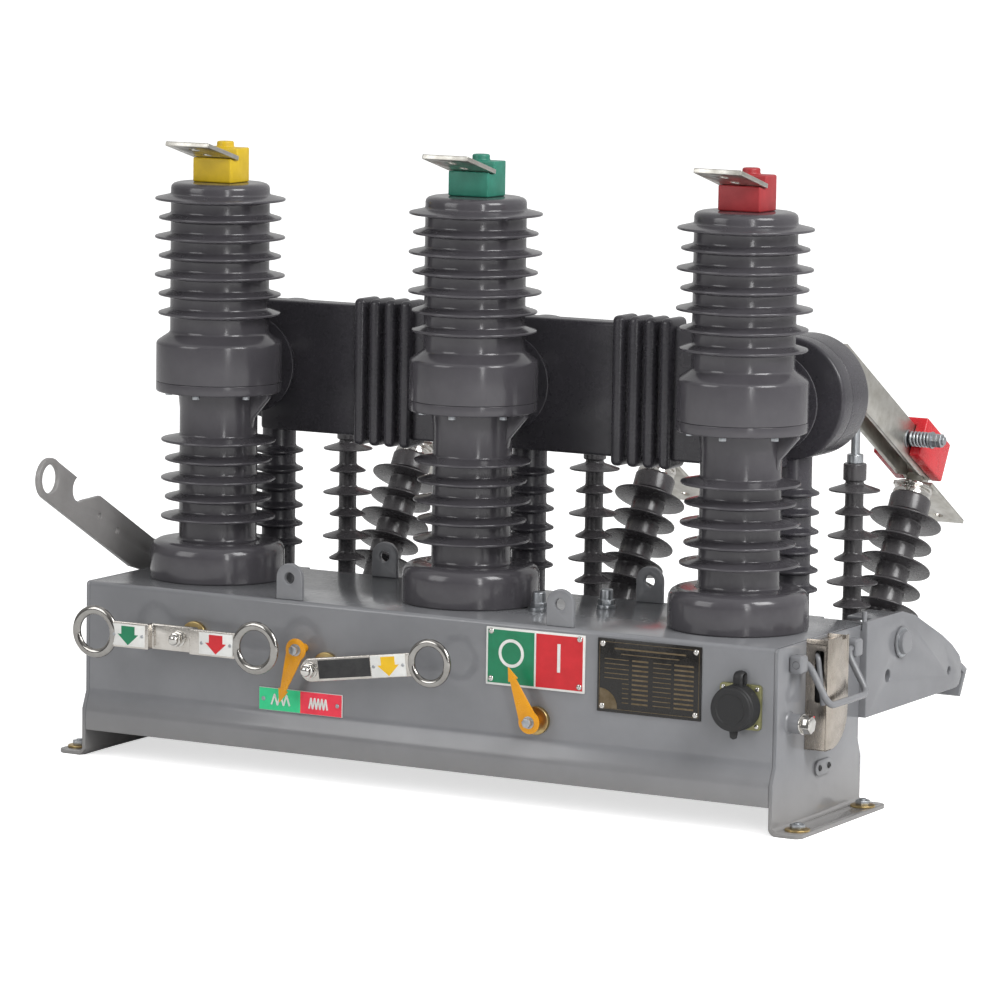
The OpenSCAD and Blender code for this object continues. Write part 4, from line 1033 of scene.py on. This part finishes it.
def makeEndCover():
    s = Settings(**endSet)
    far, near, deep = s.notch
    face = [(s.y0, s.low), (s.y0, s.high), (s.y1 - far, s.high), (s.y1 - far, s.high - deep),
            (s.y1 - near, s.high - deep), (s.y1 - near, s.high), (s.y1, s.high)]
    for k in range(9):  # lower rear corner swept away in a round
        a = math.radians(90 * k / 8)
        face.append((s.y0 + s.sweepY + (s.y1 - s.y0 - s.sweepY) * math.cos(a),
                     s.low + s.sweep * (1 - math.sin(a))))
    x0, x1 = wallX / mm, wallX / mm + s.out
    sheet = setOn(cutSheet(face, s.sheet, 0.4), endTurn, ((x1 - s.sheet) * mm, 0, 0))
    frontSide = addBlock((x0, s.y0, s.low), (x1, s.y0 + s.sheet, s.high), 0.6)
    slot = addBlock((x0 + s.slotX[0], s.y0 - 2, s.high - s.slotDrop[0]),
                    (x0 + s.slotX[1], s.y0 + 4, s.high - s.slotDrop[1]), 4.5, 5)
    cutAway(frontSide, slot)
    rearSide = addBlock((x0, s.y1 - s.sheet, s.low + s.sweep),
                        (x1 - s.rearIn[0], s.y1, s.high - s.rearIn[1]), 0.4)
    lid = addBlock((x0, s.y0, s.high - s.sheet - s.lidDrop), (x1 - s.lidIn, s.y1, s.high - s.lidDrop), 0.3)
    bottom = addBlock((x0, s.y0, s.low), (x1, s.y0 + s.flap, s.low + s.sheet), 0.4)
    cover = joinUp([sheet, frontSide, rearSide, lid, bottom])
    finishPiece(cover, "endCoverSheet", "breaker", "stainlessUpright", ("end_cover",))
    # dark block in the cover's swept corner: painted shade in the opening
    (y, z), (dx, dy, dz) = s.insideLow, s.insideHigh
    inside = addBlock((x0, s.y0 + y, s.low + z), (x0 + dx, s.y1 + dy, s.high + dz), 1.5)
    finishPiece(inside, "endCoverInsideShade", "breaker", "rubberBlackAndShade")
    rod = bendRod([(x0 + x, s.y0 + y, s.high + z) for x, y, z in s.rod], s.rodR, 7)
    paintPiece(rod, "coverRod")


makeEndCover()

bailSet = {"x": 456, "z": 185, "y0": -46, "y1": 53, "dx": 26.8, "dz": -46.6, "end": 30, "r": 3.9,
           "corner": 11}


def makeBail():
    s = Settings(**bailSet)
    x, z = s.x + s.dx, s.z + s.dz
    rod = bendRod([(s.x, s.y0 - s.end, s.z), (s.x, s.y0, s.z), (x, s.y0, z), (x, s.y1, z),
                   (s.x, s.y1, s.z), (s.x, s.y1 + s.end, s.z)], s.r, s.corner)
    finishPiece(rod, "releaseBail", "release_bail", "greyPaintSheet", ("release_bail",))


makeBail()

blockSet = {"y": (-76, 65), "long": 18, "x0": 447, "x1": 463, "z0": 175, "z1": 195, "edge": 3.5,
            "bore": 4.4, "past": 2}


def makeBailBlocks():
    s = Settings(**blockSet)
    blocks = []
    for y in s.y:
        block = addBlock((s.x0, y, s.z0), (s.x1, y + s.long, s.z1), s.edge, 5)
        end = s.long + s.past
        bore = spinShape([(0, -s.past, 0), (s.bore, -s.past, 0), (s.bore, end, 0), (0, end, 0)], 32)
        standOn(bore, (bailSet["x"] * mm, y * mm, bailSet["z"] * mm), back)
        cutAway(block, bore)
        blocks.append(block)
    paintPiece(joinUp(blocks), "bailBlocks", "bail_blocks")


makeBailBlocks()

# bolt on a boss in front of the cover, with a paint mark on its nut
sideSet = {"y": -70, "z": 120, "bossR": 11, "bossLong": 15, "across": 18, "high": 10, "washer": 11.5,
           "markX": (6, 12.8), "markY": (3, 6), "markZ": (7.4, 9.2)}


def makeSideBolt():
    s = Settings(**sideSet)
    r, end = s.bossR, s.bossLong
    boss = spinShape([(0, 0, 0), (r + 2, 0, 0.5), (r, 2, 1.5), (r, end, 1.2), (0, end, 0)], 40)
    standOn(boss, (wallX, s.y * mm, s.z * mm), right)
    paintPiece(boss, "sideBoltBoss")
    nut = hexHead(s.across, s.high, washer=s.washer, washerHigh=2)
    x = wallX / mm + end
    fastenAll(nut, [((x, s.y, s.z), right, 0.3)], "sideBolt", "chromePlate")
    dropMaster(nut)
    low, high = ((x + s.markX[k], s.y + s.markY[k], s.z + s.markZ[k]) for k in (0, 1))
    finishPiece(addBlock(low, high, 0.5), "sideBoltMark", "breaker", "printRed")


makeSideBolt()

# small oval plate low on the right end
ovalSet = {"y": 15, "z": 59, "reach": 12, "r": 8.5, "thick": 3, "screws": (3.5, 26.5)}


def makeOvalPlate():
    s = Settings(**ovalSet)
    turns = [math.radians(7.5 + 15 * k) for k in range(24)]
    outline = [(s.y + math.copysign(s.reach, math.cos(a)) + s.r * math.cos(a), s.z + s.r * math.sin(a))
               for a in turns]
    plate = setOn(cutSheet(outline, s.thick, 0.6), endTurn, (wallX, 0, 0))
    paintPiece(plate, "drainPlate")
    fastenAll(plateScrew, [((wallX / mm + s.thick, y, s.z), right, 0.4) for y in s.screws],
              "drainPlateScrews", "steelBlackened")


makeOvalPlate()

# shaft end on the right side plate, and the pin on the plate's top edge
shaftSet = {"place": (455.9, 200, 174.5), "washer": (18, 2.6), "boss": (13.6, 8),
            "pin": (449.5, 112.5, 208.8), "pinR": 2.8, "pinHigh": 11}


def makeShaftEnd():
    s = Settings(**shaftSet)
    (wide, thick), (r, end) = s.washer, s.boss
    cap = spinShape([(0, 0, 0), (wide, 0, 0.6), (wide, thick, 0.8), (r, thick, 0.5), (r, end, 1.6),
                     (0, end, 0)], 48)
    standOn(cap, Vector(s.place) * mm, right)
    finishPiece(cap, "shaftEndCap", "isolator_shaft", "greyPaintSheet")
    pin = spinShape([(0, 0, 0), (s.pinR, 0, 0), (s.pinR, s.pinHigh, 0.8), (0, s.pinHigh, 0)], 24)
    paintPiece(standOn(pin, Vector(s.pin) * mm), "sidePlatePin")


makeShaftEnd()

# filler and breather plugs on the case top
plugSet = {"places": [(100, -5), (153, 57)], "across": 17, "rim": 11, "r": 7.5, "low": 9, "high": 22}


def makePlugs():
    s = Settings(**plugSet)
    head = hexHead(s.across, 6, washer=s.rim, washerHigh=4)
    stem = spinShape([(s.r, s.low, 0), (s.r, s.high, 1.5), (0, s.high, 0)], 32)
    master = joinUp([head, stem])
    made = [standOn(copyOf(master), (x * mm, y * mm, caseTop)) for x, y in s.places]
    finishPiece(joinUp(made), "topPlugs", "breaker", "zincPlate", ("top_plugs",))
    dropMaster(master)


makePlugs()
dropMaster(footNut, footWasher, smallBolt, flangeBolt, domeNut, plateScrew, smallScrew)
print("right end and small parts made")

# white studio: the world and the floor are white to the camera, dimmer as a light and in reflections
lightSet = {"dim": 0.16, "bright": 0.72, "brightSide": (0.1, 0.55, 0.83), "floorLift": 0.66,
            "skyFrom": (-0.4, 0.8), "floorTone": "#F0F0F0", "floorSize": 60, "target": (0, 0.1, 0.35),
            "key": {"power": 128, "place": (3.4, -0.8, 3.0), "wide": 2.0, "high": 2.0},
            "fill": {"power": 54, "place": (-2.2, -3.6, 2.2), "wide": 2.4, "high": 2.4},
            "streak": {"power": 26, "place": (2.6, -2.6, 1.6), "wide": 0.3, "high": 2.8}}


def seenDirectly(tree):
    return addNode(tree, "ShaderNodeLightPath").outputs["Is Camera Ray"]


def setStudio():
    scene = bpy.context.scene
    scene.view_settings.view_transform = "Standard"
    scene.world = scene.world or bpy.data.worlds.new("studio")
    scene.world.use_nodes = True
    tree = scene.world.node_tree
    background = tree.nodes["Background"]
    # brightest above and behind, dim in front
    view = addNode(tree, "ShaderNodeTexCoord").outputs["Generated"]
    look = addNode(tree, "ShaderNodeVectorMath", operation="DOT_PRODUCT", links={0: view},
                   values={1: lightSet["brightSide"]})
    least, most = lightSet["skyFrom"]
    sky = addNode(tree, "ShaderNodeMapRange", links={"Value": look.outputs["Value"]},
                  values={"From Min": least, "From Max": most,
                          "To Min": lightSet["dim"], "To Max": lightSet["bright"]})
    level = addNode(tree, "ShaderNodeMapRange", values={"To Max": 1.0},
                    links={"Value": seenDirectly(tree), "To Min": sky.outputs["Result"]})
    background.inputs["Color"].default_value = (1, 1, 1, 1)
    tree.links.new(level.outputs["Result"], background.inputs["Strength"])
    for name in ("key", "fill", "streak"):
        s = Settings(**lightSet[name])
        data = bpy.data.lights.new(name, "AREA")
        data.energy = s.power
        data.shape = "RECTANGLE"
        data.size, data.size_y = s.wide, s.high
        lamp = bpy.data.objects.new(name, data)
        scene.collection.objects.link(lamp)
        lamp.location = s.place
        aim = Vector(lightSet["target"]) - Vector(s.place)
        lamp.rotation_euler = aim.to_track_quat("-Z", "Y").to_euler()
    clearSelection()
    bpy.ops.mesh.primitive_plane_add(size=lightSet["floorSize"], location=(0, 0, 0))
    floor = bpy.context.object
    floor.name = "studioFloor"
    mat = bpy.data.materials.new("floorWhite")
    mat.use_nodes = True
    shader = mat.node_tree.nodes["Principled BSDF"]
    shader.inputs["Base Color"].default_value = hexLinear(lightSet["floorTone"])
    shader.inputs["Roughness"].default_value = 1.0
    shader.inputs["Specular IOR Level"].default_value = 0.0
    shader.inputs["Emission Color"].default_value = (1, 1, 1, 1)
    lift = addNode(mat.node_tree, "ShaderNodeMapRange", links={"Value": seenDirectly(mat.node_tree)},
                   values={"To Min": 0.0, "To Max": lightSet["floorLift"]})
    mat.node_tree.links.new(lift.outputs["Result"], shader.inputs["Emission Strength"])
    floor.data.materials.append(mat)


setStudio()
print("studio is set")
